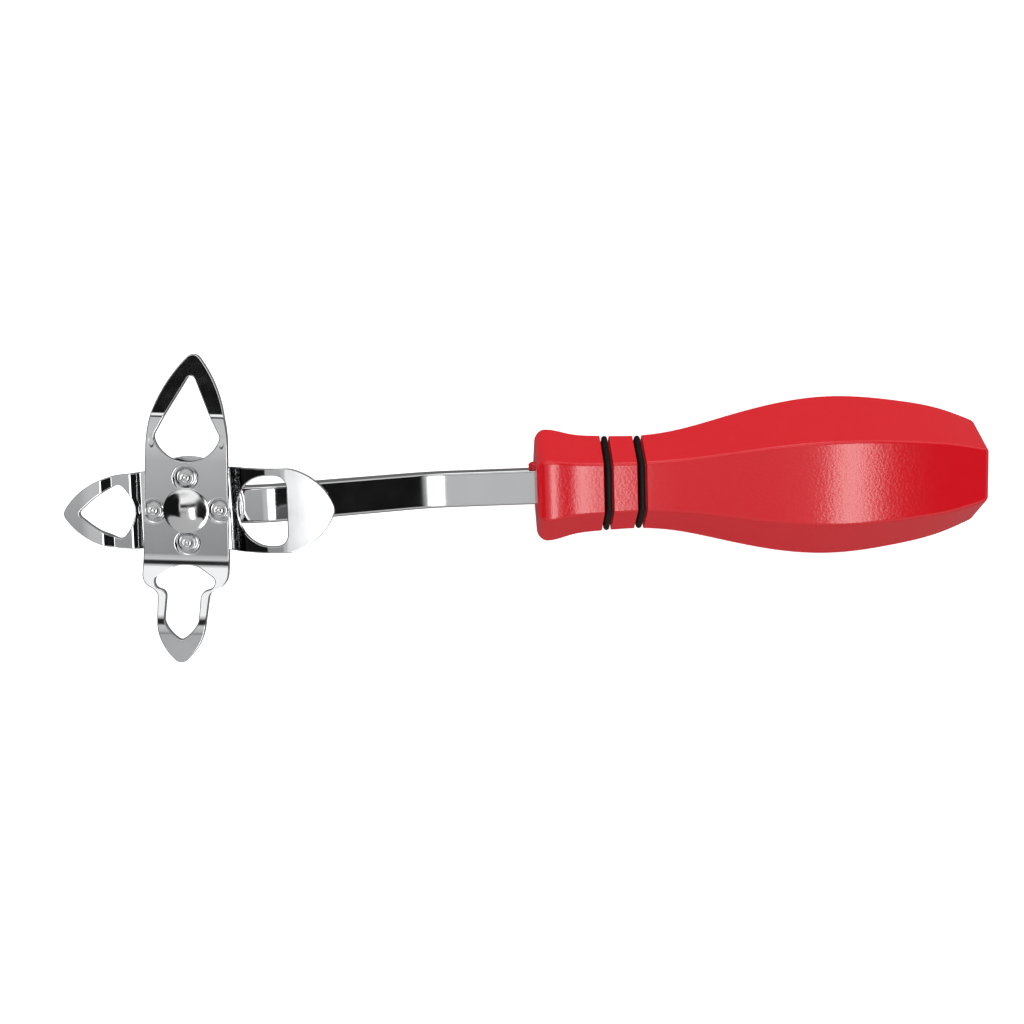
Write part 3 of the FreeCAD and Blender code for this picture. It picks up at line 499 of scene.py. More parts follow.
@dataclass(frozen=True)
class Dent:
    """A pressed place in the upper face of a sheet.

    The depth falls as a smooth step of distance, from full inside `floor` to none at
    `mouth`. `stretch` is how much longer it is along y than along x.
    """

    x: float
    y: float
    depth: float
    floor: float
    mouth: float
    stretch: float = 1.0
    margin: float = 0.15
    ring_count: int = 9
    columns: int = 48

    def fall(self, points: Array) -> tuple[Array, Array]:
        """Return the depth at points and its gradient of shape (N, 2)."""
        scale = np.array([1.0, 1.0 / self.stretch])
        away = (points - np.array([self.x, self.y])) * scale
        distance = np.maximum(np.linalg.norm(away, axis=1), TINY)
        share = np.clip((distance - self.floor) / (self.mouth - self.floor), 0.0, 1.0)
        depth = self.depth * (1 - share * share * (3 - 2 * share))
        rate = -self.depth * 6 * share * (1 - share) / (self.mouth - self.floor)
        return depth, rate[:, None] * away * scale / distance[:, None]

    def rings(self) -> Array:
        """Return points in rings that resolve the dent's wall."""
        radii = np.linspace(self.floor - self.margin, self.mouth + self.margin, self.ring_count)
        angle = np.linspace(0, 2 * math.pi, self.columns, endpoint=False)
        ring = np.column_stack([np.cos(angle), np.sin(angle) * self.stretch])
        return np.array([self.x, self.y]) + np.vstack([ring * radius for radius in radii])


@dataclass
class Sheet:
    """A folded sheet with openings, thickness and softly rounded edges.

    `outline` runs anticlockwise and openings may run either way. `edge` is the
    radius of the rounded rims. `fold_step` is the wanted distance between points
    across a fold, and `clearance` is how far the lattice keeps from a rim, as a
    share of the distance between the rim's points.
    """

    outline: Array
    openings: list[Array]
    folds: list[Fold]
    thickness: float
    along: Axis
    edge: float = 0.25
    spacing: float = 0.45
    rim_step: float = 0.22
    fold_step: float = 0.12
    fold_counts: tuple[int, int] = (6, 24)
    dent_gap: float = 0.3
    clearance: float = 0.6
    dents: list[Dent] = field(default_factory=list)
    drilled: list[Array] = field(default_factory=list)

    def surface(self, points: Array, upper: bool) -> tuple[Array, Array]:
        """Lift plan points to one face.

        Args:
            points: Plan points of shape (N, 2).
            upper: Whether the upper face is meant.

        Returns:
            Heights of shape (N,) and upward unit normals of shape (N, 3).
        """
        low, high = strip_faces(self.folds, self.thickness)
        line = high if upper else low
        s = points[:, self.along.value]
        height = line.height(s)
        gradient = np.zeros((len(points), 2))
        gradient[:, self.along.value] = line.slope(s)
        for dent in self.dents if upper else []:
            fall, lean = dent.fall(points)
            height = height - fall
            gradient = gradient - lean
        normals = unit(np.column_stack([-gradient, np.ones(len(points))]))
        return height, normals

    def rim(self, loop: Array, edge: float) -> tuple[Shell, Array]:
        """Wrap a loop with a wall whose two rims are quarter circles.

        At angle t of a rim the wall is inset by edge (1 - cos t) and stands
        edge (1 - sin t) short of the face.

        Args:
            loop: The loop, with the sheet on its left.
            edge: Radius of the rims.

        Returns:
            The wall's shell and the loop where it meets the faces.
        """
        outward = rightward(tangents(loop, closed=True))
        angle = np.linspace(0.0, math.pi / 2, RIM_ROWS)
        rows = []
        leans = []
        for upper, order in ((False, angle[::-1]), (True, angle)):
            sign = 1.0 if upper else -1.0
            for t in order:
                plan = loop - outward * edge * (1 - math.cos(t))
                height, normal = self.surface(plan, upper)
                level = height - sign * edge * (1 - math.sin(t))
                rows.append(np.column_stack([plan, level]))
                flat = np.column_stack([outward, np.zeros(len(loop))])
                leans.append(unit(flat * math.cos(t) + normal * sign * math.sin(t)))
        return woven(np.array(rows), np.array(leans)), loop - outward * edge

    def lattice(self, loops: list[Array]) -> Array:
        """Return inner points: an even lattice, closer together across the folds."""
        low, high = self.outline.min(axis=0), self.outline.max(axis=0)
        axis, other = self.along.value, 1 - self.along.value
        fewest, most = self.fold_counts
        places = [np.arange(low[axis], high[axis], self.spacing)]
        for line in strip_faces(self.folds, self.thickness):
            for place, reach in zip(line.places[1:-1], line.reaches):
                count = int(min(max(reach * 2 / self.fold_step, fewest), most))
                places.append(np.linspace(place - reach, place + reach, count))
        places = np.unique(np.round(np.concatenate(places), 2))
        across = np.arange(low[other] + self.spacing / 2, high[other], self.spacing)
        grid = np.stack(np.meshgrid(places, across, indexing="ij"), axis=-1).reshape(-1, 2)
        points = grid if axis == 0 else grid[:, ::-1]
        for dent in self.dents:
            away = (points - [dent.x, dent.y]) / [1.0, dent.stretch]
            points = points[np.linalg.norm(away, axis=1) > dent.mouth + self.dent_gap]
        points = np.vstack([points] + [dent.rings() for dent in self.dents])
        points = points[inside(points, loops)]
        return clear_of(points, np.vstack(loops), self.rim_step * self.clearance)

    def shell(self) -> Shell:
        """Build the closed sheet: both faces filled between the rounded rims."""
        loops = [directed(resampled(self.outline, self.rim_step, True), True)]
        loops += [directed(resampled(loop, self.rim_step, True), False)
                  for loop in self.openings]
        loops = [softened(loop, LOOP_PASSES, True) for loop in loops]
        edges = [self.edge] * len(loops) + [DRILLED_EDGE] * len(self.drilled)
        loops += [directed(loop, False) for loop in self.drilled]
        walls = []
        meets = []
        for loop, edge in zip(loops, edges):
            wall, meet = self.rim(loop, edge)
            walls.append(wall)
            meets.append(meet)
        plan, triangles = filled(meets, self.lattice(meets))
        faces = []
        for upper in (True, False):
            height, normals = self.surface(plan, upper)
            face = Shell(np.column_stack([plan, height]), normals, triangles)
            faces.append(face if upper else face.flipped())
        return joined(walls + faces)


def directed(loop: Array, anticlockwise: bool) -> Array:
    """Return a loop that runs the wanted way round."""
    x, y = loop.T
    area = np.sum(x * np.roll(y, -1) - y * np.roll(x, -1))
    return loop if (area > 0) == anticlockwise else loop[::-1]


def circle(x: float, y: float, radius: float, count: int = 48) -> Array:
    """Return a round loop about a place."""
    angle = np.linspace(0.0, 2 * math.pi, count, endpoint=False)
    return np.column_stack([x + radius * np.cos(angle), y + radius * np.sin(angle)])


# ------------------------------------------------------------------ materials

class Nodes:
    """A thin writer for one node tree."""

    def __init__(self, tree: bpy.types.NodeTree) -> None:
        """Keep the tree and clear it."""
        self.tree = tree
        tree.nodes.clear()

    def add(self, kind: str, settings: dict[str, object] | None = None,
            **inputs: object) -> bpy.types.Node:
        """Add a node.

        Args:
            kind: The node's type name.
            settings: Properties of the node.
            inputs: Values or sockets by input name, with _ for a space.

        Returns:
            The node.
        """
        node = self.tree.nodes.new(kind)
        for name, value in (settings or {}).items():
            setattr(node, name, value)
        for name, value in inputs.items():
            self.feed(node.inputs[name.replace("_", " ")], value)
        return node

    def feed(self, socket: bpy.types.NodeSocket, value: object) -> None:
        """Link a socket into an input, or set the input's value."""
        if isinstance(value, bpy.types.NodeSocket):
            self.tree.links.new(value, socket)
        else:
            socket.default_value = value

    def math(self, operation: str, *values: object) -> bpy.types.NodeSocket:
        """Add a Math node and return its output."""
        node = self.tree.nodes.new("ShaderNodeMath")
        node.operation = operation
        for socket, value in zip(node.inputs, values):
            self.feed(socket, value)
        return node.outputs[0]

    def window(self, value: object, low: float, high: float, blur: float) -> object:
        """Return a mask that is 1 between low and high, with smooth edges."""
        masks = []
        for start, end in ((low - blur, low + blur), (high + blur, high - blur)):
            node = self.add("ShaderNodeMapRange", {"interpolation_type": "SMOOTHSTEP"},
                            Value=value, From_Min=start, From_Max=end)
            masks.append(node.outputs[0])
        return self.math("MULTIPLY", *masks)


def new_group(name: str, inputs: dict[str, object], output: str) -> tuple[Nodes, dict]:
    """Start a shader node group with a vector input and one value output.

    Args:
        name: Name of the group.
        inputs: Default values of its number inputs by name.
        output: Name of its output.

    Returns:
        The group's node writer and its input sockets by name.
    """
    tree = bpy.data.node_groups.new(name, "ShaderNodeTree")
    nodes = Nodes(tree)
    tree.interface.new_socket("Vector", in_out="INPUT", socket_type="NodeSocketVector")
    for title, value in inputs.items():
        socket = tree.interface.new_socket(title, in_out="INPUT", socket_type="NodeSocketFloat")
        socket.default_value = value
    tree.interface.new_socket(output, in_out="OUTPUT", socket_type="NodeSocketFloat")
    source = nodes.add("NodeGroupInput")
    return nodes, {socket.name: socket for socket in source.outputs if socket.name}


def close_group(nodes: Nodes, value: bpy.types.NodeSocket) -> bpy.types.NodeTree:
    """End a group with its output value and return its tree."""
    end = nodes.add("NodeGroupOutput")
    nodes.feed(end.inputs[0], value)
    return nodes.tree


class Effects:
    """The shader node groups that several finishes share, each built once.

    `coarse_share` is the coarse noise's scale as a share of the fine one's, and
    `spread` is the range of a noise that the patches stretch to their two values.
    """

    coarse_share: float = 0.22
    spread: tuple[float, float] = (0.3, 0.7)

    def __init__(self) -> None:
        """Build the groups."""
        self.ripple = self.build_ripple()
        self.brushing = self.build_brushing()
        self.patches = self.build_patches()

    def build_ripple(self) -> bpy.types.NodeTree:
        """Build the low waves of a moulded or plated skin: two noises, coarse and fine."""
        nodes, inputs = new_group("skin_ripple", {"Scale": 900.0, "Coarse": 0.5, "Fine": 0.5},
                                  "Height")
        coarse = nodes.add("ShaderNodeTexNoise", Vector=inputs["Vector"], Detail=2.0,
                           Scale=nodes.math("MULTIPLY", inputs["Scale"], self.coarse_share))
        fine = nodes.add("ShaderNodeTexNoise", Vector=inputs["Vector"], Detail=3.0,
                         Scale=inputs["Scale"])
        first = nodes.math("MULTIPLY", coarse.outputs["Fac"], inputs["Coarse"])
        second = nodes.math("MULTIPLY", fine.outputs["Fac"], inputs["Fine"])
        return close_group(nodes, nodes.math("ADD", first, second))

    def build_brushing(self) -> bpy.types.NodeTree:
        """Build fine scratches: a noise drawn out along one direction."""
        nodes, inputs = new_group("brushing", {"Across X": 3000.0, "Across Y": 120.0,
                                               "Depth": 0.5}, "Height")
        parts = nodes.add("ShaderNodeSeparateXYZ", Vector=inputs["Vector"])
        x = nodes.math("MULTIPLY", parts.outputs["X"], inputs["Across X"])
        y = nodes.math("MULTIPLY", parts.outputs["Y"], inputs["Across Y"])
        z = nodes.math("MULTIPLY", parts.outputs["Z"], inputs["Across Y"])
        drawn = nodes.add("ShaderNodeCombineXYZ", X=x, Y=y, Z=z)
        noise = nodes.add("ShaderNodeTexNoise", Vector=drawn.outputs[0], Scale=1.0, Detail=4.0)
        return close_group(nodes, nodes.math("MULTIPLY", noise.outputs["Fac"], inputs["Depth"]))

    def build_patches(self) -> bpy.types.NodeTree:
        """Build soft patches between two values, for wear, handling and tone."""
        nodes, inputs = new_group("patches", {"Scale": 120.0, "Low": 0.0, "High": 1.0}, "Value")
        noise = nodes.add("ShaderNodeTexNoise", Vector=inputs["Vector"], Scale=inputs["Scale"],
                          Detail=4.0)
        low, high = self.spread
        value = nodes.add("ShaderNodeMapRange", Value=noise.outputs["Fac"], From_Min=low,
                          From_Max=high, To_Min=inputs["Low"], To_Max=inputs["High"])
        return close_group(nodes, value.outputs[0])


@dataclass(frozen=True)
class Finish:
    """What every finish has: a colour with a second tone and a range of roughness.

    Scales are in waves to the metre. The speckled band is in millimetres along X and
    is left out where its gain is 0.
    """

    name: str
    colour: tuple[float, float, float]
    tone: tuple[float, float, float]
    smooth: float
    rough: float
    metallic: float
    ripple_scale: float
    ripple_coarse: float
    ripple_fine: float
    ripple_depth: float
    brushed_x: float = 0.0
    brushed_y: float = 0.0
    brushed_depth: float = 0.0
    speckle_from: float = 0.0
    speckle_to: float = 0.0
    speckle_gain: float = 0.0
    speckle_scale: float = 2600.0
    speckle_coarse: float = 0.4
    fleck_range: tuple[float, float] = (0.50, 0.66)
    fleck_least: float = 0.2
    fleck_colour: tuple[float, float, float] = (0.02, 0.02, 0.02)
    fleck_blur: float = 0.2
    grain_blur: float = 0.6
    tone_scale: float = 90.0
    haze_scale: float = 260.0
    specular: float = 0.5
    refraction: float = 1.5

    def material(self, effects: Effects) -> bpy.types.Material:
        """Build the finish as a material.

        Args:
            effects: The shared groups.

        Returns:
            The material, whose patterns follow Object coordinates.
        """
        made = bpy.data.materials.new(self.name)
        made.use_nodes = True
        nodes = Nodes(made.node_tree)
        place = nodes.add("ShaderNodeTexCoord").outputs["Object"]
        shader = nodes.add("ShaderNodeBsdfPrincipled", Metallic=self.metallic)
        shader.inputs["IOR"].default_value = self.refraction
        shader.inputs["Specular IOR Level"].default_value = self.specular
        tone = nodes.add("ShaderNodeGroup", {"node_tree": effects.patches}, Vector=place,
                         Scale=self.tone_scale, Low=0.0, High=1.0)
        mix = nodes.add("ShaderNodeMix", {"data_type": "RGBA"}, Factor=tone.outputs[0])
        mix.inputs["A"].default_value = (*self.colour, 1.0)
        mix.inputs["B"].default_value = (*self.tone, 1.0)
        colour = mix.outputs["Result"]
        if self.speckle_gain > 0.0:
            colour = self.flecked_band(nodes, place, colour, effects)
        nodes.feed(shader.inputs["Base Color"], colour)
        haze = nodes.add("ShaderNodeGroup", {"node_tree": effects.patches}, Vector=place,
                         Scale=self.haze_scale, Low=self.smooth, High=self.rough)
        nodes.feed(shader.inputs["Roughness"], haze.outputs[0])
        skin = nodes.add("ShaderNodeGroup", {"node_tree": effects.ripple}, Vector=place,
                         Scale=self.ripple_scale, Coarse=self.ripple_coarse,
                         Fine=self.ripple_fine)
        height = skin.outputs[0]
        if self.speckle_gain > 0.0:
            height = self.rougher_band(nodes, place, height, effects)
        if self.brushed_depth > 0.0:
            marks = nodes.add("ShaderNodeGroup", {"node_tree": effects.brushing}, Vector=place,
                              Across_X=self.brushed_x, Across_Y=self.brushed_y,
                              Depth=self.brushed_depth)
            height = nodes.math("ADD", height, marks.outputs[0])
        bump = nodes.add("ShaderNodeBump", Height=height, Distance=self.ripple_depth * MM,
                         Strength=1.0)
        nodes.feed(shader.inputs["Normal"], bump.outputs["Normal"])
        end = nodes.add("ShaderNodeOutputMaterial")
        nodes.feed(end.inputs["Surface"], shader.outputs[0])
        return made

    def flecked_band(self, nodes: Nodes, place: bpy.types.NodeSocket,
                     colour: bpy.types.NodeSocket, effects: Effects) -> bpy.types.NodeSocket:
        """Darken the colour with dense flecks in the speckled band."""
        band = self.band(nodes, place, self.fleck_blur)
        grain = nodes.add("ShaderNodeGroup", {"node_tree": effects.ripple}, Vector=place,
                          Scale=self.speckle_scale, Coarse=0.0, Fine=1.0)
        low, high = self.fleck_range
        fleck = nodes.add("ShaderNodeMapRange", Value=grain.outputs[0], From_Min=low,
                          From_Max=high, To_Min=1.0, To_Max=self.fleck_least)
        mix = nodes.add("ShaderNodeMix", {"data_type": "RGBA"},
                        Factor=nodes.math("MULTIPLY", band, fleck.outputs[0]))
        nodes.feed(mix.inputs["A"], colour)
        mix.inputs["B"].default_value = (*self.fleck_colour, 1.0)
        return mix.outputs["Result"]

    def rougher_band(self, nodes: Nodes, place: bpy.types.NodeSocket,
                     height: bpy.types.NodeSocket, effects: Effects) -> bpy.types.NodeSocket:
        """Add coarse grains to the height in the speckled band."""
        band = self.band(nodes, place, self.grain_blur)
        grain = nodes.add("ShaderNodeGroup", {"node_tree": effects.ripple}, Vector=place,
                          Scale=self.speckle_scale, Coarse=self.speckle_coarse, Fine=1.0)
        strong = nodes.math("MULTIPLY", band, self.speckle_gain)
        return nodes.math("ADD", height, nodes.math("MULTIPLY", grain.outputs[0], strong))

    def band(self, nodes: Nodes, place: bpy.types.NodeSocket,
             blur: float) -> bpy.types.NodeSocket:
        """Return the mask of the speckled band, from places in metres."""
        parts = nodes.add("ShaderNodeSeparateXYZ", Vector=place)
        return nodes.window(parts.outputs["X"], self.speckle_from * MM, self.speckle_to * MM,
                            blur * MM)


PIVOT_X = -179.5

FINISHES = {
    Slot.GRIP: Finish(
        name="red_moulded_plastic", colour=(0.555, 0.0026, 0.0095), tone=(0.545, 0.0025, 0.0090),
        smooth=0.15, rough=0.17, metallic=0.0, specular=0.8,
        ripple_scale=1700.0, ripple_coarse=0.35, ripple_fine=1.0, ripple_depth=0.038),
    Slot.RING: Finish(
        name="black_rubber", colour=(0.004, 0.004, 0.004), tone=(0.007, 0.007, 0.007),
        smooth=0.42, rough=0.52, metallic=0.0, specular=0.2,
        ripple_scale=2200.0, ripple_coarse=0.5, ripple_fine=0.5, ripple_depth=0.012),
    Slot.SHANK: Finish(
        name="bright_plated_bar", colour=(0.80, 0.81, 0.82), tone=(0.76, 0.77, 0.78),
        smooth=0.05, rough=0.10, metallic=1.0,
        ripple_scale=700.0, ripple_coarse=1.0, ripple_fine=0.15, ripple_depth=0.004,
        brushed_x=120.0, brushed_y=3000.0, brushed_depth=0.10),
    Slot.BLADE: Finish(
        name="bright_plated_sheet", colour=(0.82, 0.83, 0.84), tone=(0.78, 0.79, 0.80),
        smooth=0.05, rough=0.10, metallic=1.0,
        ripple_scale=700.0, ripple_coarse=0.8, ripple_fine=0.15, ripple_depth=0.004,
        brushed_x=3200.0, brushed_y=90.0, brushed_depth=0.12,
        speckle_from=PIVOT_X + 9.7, speckle_to=PIVOT_X + 12.6, speckle_gain=6.0),
    Slot.BACKING: Finish(
        name="bright_plated_disc", colour=(0.76, 0.77, 0.78), tone=(0.72, 0.73, 0.74),
        smooth=0.10, rough=0.18, metallic=1.0,
        ripple_scale=900.0, ripple_coarse=0.8, ripple_fine=0.2, ripple_depth=0.004,
        brushed_x=2800.0, brushed_y=120.0, brushed_depth=0.15),
    Slot.RIVET: Finish(
        name="turned_rivet", colour=(0.82, 0.82, 0.82), tone=(0.74, 0.74, 0.75),
        smooth=0.06, rough=0.16, metallic=1.0,
        ripple_scale=1500.0, ripple_coarse=1.0, ripple_fine=0.6, ripple_depth=0.012),
    Slot.SPRING: Finish(
        name="spring_strip", colour=(0.46, 0.47, 0.49), tone=(0.40, 0.41, 0.43),
        smooth=0.22, rough=0.34, metallic=1.0,
        ripple_scale=1200.0, ripple_coarse=0.5, ripple_fine=0.5, ripple_depth=0.004,
        brushed_x=120.0, brushed_y=2600.0, brushed_depth=0.5),
    Slot.WASHER: Finish(
        name="plated_washer", colour=(0.60, 0.61, 0.62), tone=(0.54, 0.55, 0.56),
        smooth=0.20, rough=0.32, metallic=1.0,
        ripple_scale=1200.0, ripple_coarse=0.6, ripple_fine=0.4, ripple_depth=0.005,
        brushed_x=2400.0, brushed_y=160.0, brushed_depth=0.3),
}


# ------------------------------------------------------------------ pieces

@dataclass
class Workshop:
    """Makes pieces from shells and dresses them."""

    materials: dict[Slot, bpy.types.Material]

    def piece(self, name: str, shell: Shell, body: Body, slot: Slot,
              nodes: list[str]) -> bpy.types.Object:
        """Put a shell into the scene as a piece.

        Args:
            name: Name of the piece.
            shell: Its surface in millimetres.
            body: The body it rides on.
            slot: Its material slot.
            nodes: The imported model's nodes that it stands for.

        Returns:
            The new object, at the origin, with its place in its mesh.
        """
        mesh = bpy.data.meshes.new(name)
        mesh.from_pydata((shell.points * MM).tolist(), [], shell.triangles.tolist())
        mesh.polygons.foreach_set("use_smooth", np.ones(len(mesh.polygons), bool))
        mesh.update()
        mesh.normals_split_custom_set_from_vertices(unit(shell.normals).tolist())
        made = bpy.data.objects.new(name, mesh)
        bpy.context.scene.collection.objects.link(made)
        mesh.materials.append(self.materials[slot])
        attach(made, body.value)
        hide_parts(*nodes)
        LOG.info("%s: %d triangles on %s", name, len(mesh.polygons), body.value)
        return made


@dataclass
class Stack:
    """The levels that the head's pieces lie at, above the handle's middle."""

    crank_height: float = 14.0
    bar: float = 4.8
    spring_gap: float = 0.8
    backing: float = 1.2
    sheet: float = 1.5
    washer_play: float = 0.15
    washer: float = 1.0
    tail: float = 1.3
    pivot_x: float = PIVOT_X
    head_turn: float = math.radians(-1.8)
    rivet_circle: float = 7.1
    rivet_width: float = 2.6
    pivot_width: float = 5.0
    play: float = 0.05
    seat_depth: float = 0.8

    @property
    def eye_top(self) -> float:
        """Top of the shank's eye."""
        return self.crank_height + self.bar / 2

    @property
    def eye_low(self) -> float:
        """Underside of the shank's eye."""
        return self.crank_height - self.bar / 2

    @property
    def backing_low(self) -> float:
        """Underside of the backing plate."""
        return self.eye_top + self.spring_gap

    @property
    def rear_low(self) -> float:
        """Underside of the rear blade."""
        return self.backing_low + self.backing

    @property
    def front_low(self) -> float:
        """Underside of the front blade."""
        return self.rear_low + self.sheet

    @property
    def front_top(self) -> float:
        """Top of the front blade's plate."""
        return self.front_low + self.sheet

    @property
    def washer_top(self) -> float:
        """Top of the back washer."""
        return self.eye_low - self.washer_play

    @property
    def washer_low(self) -> float:
        """Underside of the back washer."""
        return self.washer_top - self.washer

    def rivets(self, skew: float = 0.0) -> dict[str, tuple[float, float]]:
        """Return the blade rivets' places about the pivot, as a skewed blade sees them."""
        across = self.rivet_circle * math.cos(skew)
        along = self.rivet_circle * math.sin(skew)
        return {"right": (across, -along), "top": (along, across), "left": (-across, along),
                "bottom": (-along, -across)}

    def holes(self, skew: float = 0.0) -> list[Array]:
        """Return the loops of the pivot's and the blade rivets' holes."""
        return [circle(0.0, 0.0, self.pivot_width / 2)] + [
            circle(x, y, self.rivet_width / 2, 32) for x, y in self.rivets(skew).values()]

    def on_pivot(self, shell: Shell, skew: float = 0.0) -> Shell:
        """Put a piece of the head in place, turned by the stop's play and its skew."""
        turn = Matrix.Rotation(self.head_turn + skew, 3, "Z")
        return shell.moved(turn, (self.pivot_x, 0.0, 0.0))

    def on_eye(self, shell: Shell) -> Shell:
        """Put a piece of the shank's head end in place."""
        return shell.moved(Matrix.Identity(3), (self.pivot_x, 0.0, 0.0))


@dataclass
class FrontBlade:
    """The upright blade: a pointed arm up and a forked arm down."""

    stack: Stack
    point_reach: float = 34.3
    point_start: float = 13.0
    point_bow: float = 29.5
    point_half: float = 8.8
    plate_half: float = 9.3
    point_bend: float = 20.1
    point_sink: float = 0.7
    point_drop: float = 8.7
    point_curl: float = 1.5
    lean_curl: float = 45.0
    fork_bend: float = 11.6
    fork_curl: float = 8.5
    fork_level: float = 24.2
    level_curl: float = 10.5
    fork_half: float = 5.2
    fork_rise: float = 5.4
    fork_reach: float = 32.9
    fork_bow: float = 12.0
    fork_neck: Corner = Corner(5.55, -18.1, -3.0)
    fork_hip: Corner = Corner(7.6, -16.6, 3.2)
    plate_end: float = 14.0
    teardrop_half: tuple[Corner, ...] = (
        Corner(0.0, 10.5, 7.4), Corner(6.9, 15.3, 1.6), Corner(6.63, 16.9),
        Corner(0.95, 28.0, 1.0), Corner(0.0, 28.8))
    keyhole_half: tuple[Corner, ...] = (
        Corner(0.0, -27.5, 9.1), Corner(3.66, -23.4), Corner(3.66, -18.4, -1.6),
        Corner(4.9, -17.0, 1.6), Corner(6.3, -14.6), Corner(3.0, -12.5, 6.0),
        Corner(0.0, -12.0))
    spare: float = 1.0
    tip_round: float = 1.7
    seat_floor: float = 1.75
    seat_mouth: float = 2.9
    coined: Dent = Dent(7.45, 15.0, 0.06, 0.35, 0.80, 2.3)
    skew: float = math.radians(-1.9)

    def outline(self) -> Array:
        """Trace the blade's outline: arcs at both tips, straight plate sides."""
        fork_side = Corner(self.fork_half, -self.fork_level)
        low_tip, low_meet = blunted(Corner(0.0, -self.fork_reach), fork_side, self.fork_bow,
                                    self.tip_round)
        arm_side = Corner(self.point_half, self.point_start)
        top_tip, top_meet = blunted(Corner(0.0, self.point_reach), arm_side, self.point_bow,
                                    self.tip_round)
        return traced(mirrored([
            Corner(low_tip.x, low_tip.y, self.tip_round),
            Corner(abs(low_meet.x), low_meet.y, self.fork_bow),
            fork_side,
            self.fork_neck,
            self.fork_hip,
            Corner(self.plate_half, -self.plate_end),
            Corner(self.plate_half, -self.fork_bend),
            Corner(self.point_half, self.point_start, self.point_bow),
            Corner(abs(top_meet.x), top_meet.y, self.tip_round),
            top_tip,
        ], Axis.Y))

    def teardrop(self) -> Array:
        """Trace the pointed arm's opening."""
        return traced(mirrored(list(self.teardrop_half), Axis.Y))

    def keyhole(self) -> Array:
        """Trace the forked arm's opening."""
        return traced(mirrored(list(self.keyhole_half), Axis.Y))

    def folds(self) -> list[Fold]:
        """Return the edge view's lower face from the fork's tip to the point."""
        base = self.stack.front_low
        return [
            Fold(-(self.fork_reach + self.spare), base + self.fork_rise),
            Fold(-self.fork_level, base + self.fork_rise, self.level_curl),
            Fold(-self.fork_bend, base, self.fork_curl),
            Fold(self.point_start, base, self.lean_curl),
            Fold(self.point_bend, base - self.point_sink, self.point_curl),
            Fold(self.point_reach + self.spare, base - self.point_drop),
        ]

    def shell(self) -> Shell:
        """Build the blade, with its rivet seats and the two coined shoulders."""
        dents = [Dent(x, y, self.stack.seat_depth, self.seat_floor, self.seat_mouth)
                 for x, y in self.stack.rivets(self.skew).values()]
        dents += [replace(self.coined, x=side * self.coined.x) for side in (-1, 1)]
        sheet = Sheet(self.outline(), [self.teardrop(), self.keyhole()], self.folds(),
                      self.stack.sheet, Axis.Y, dents=dents,
                      drilled=self.stack.holes(self.skew))
        return self.stack.on_pivot(sheet.shell(), self.skew)


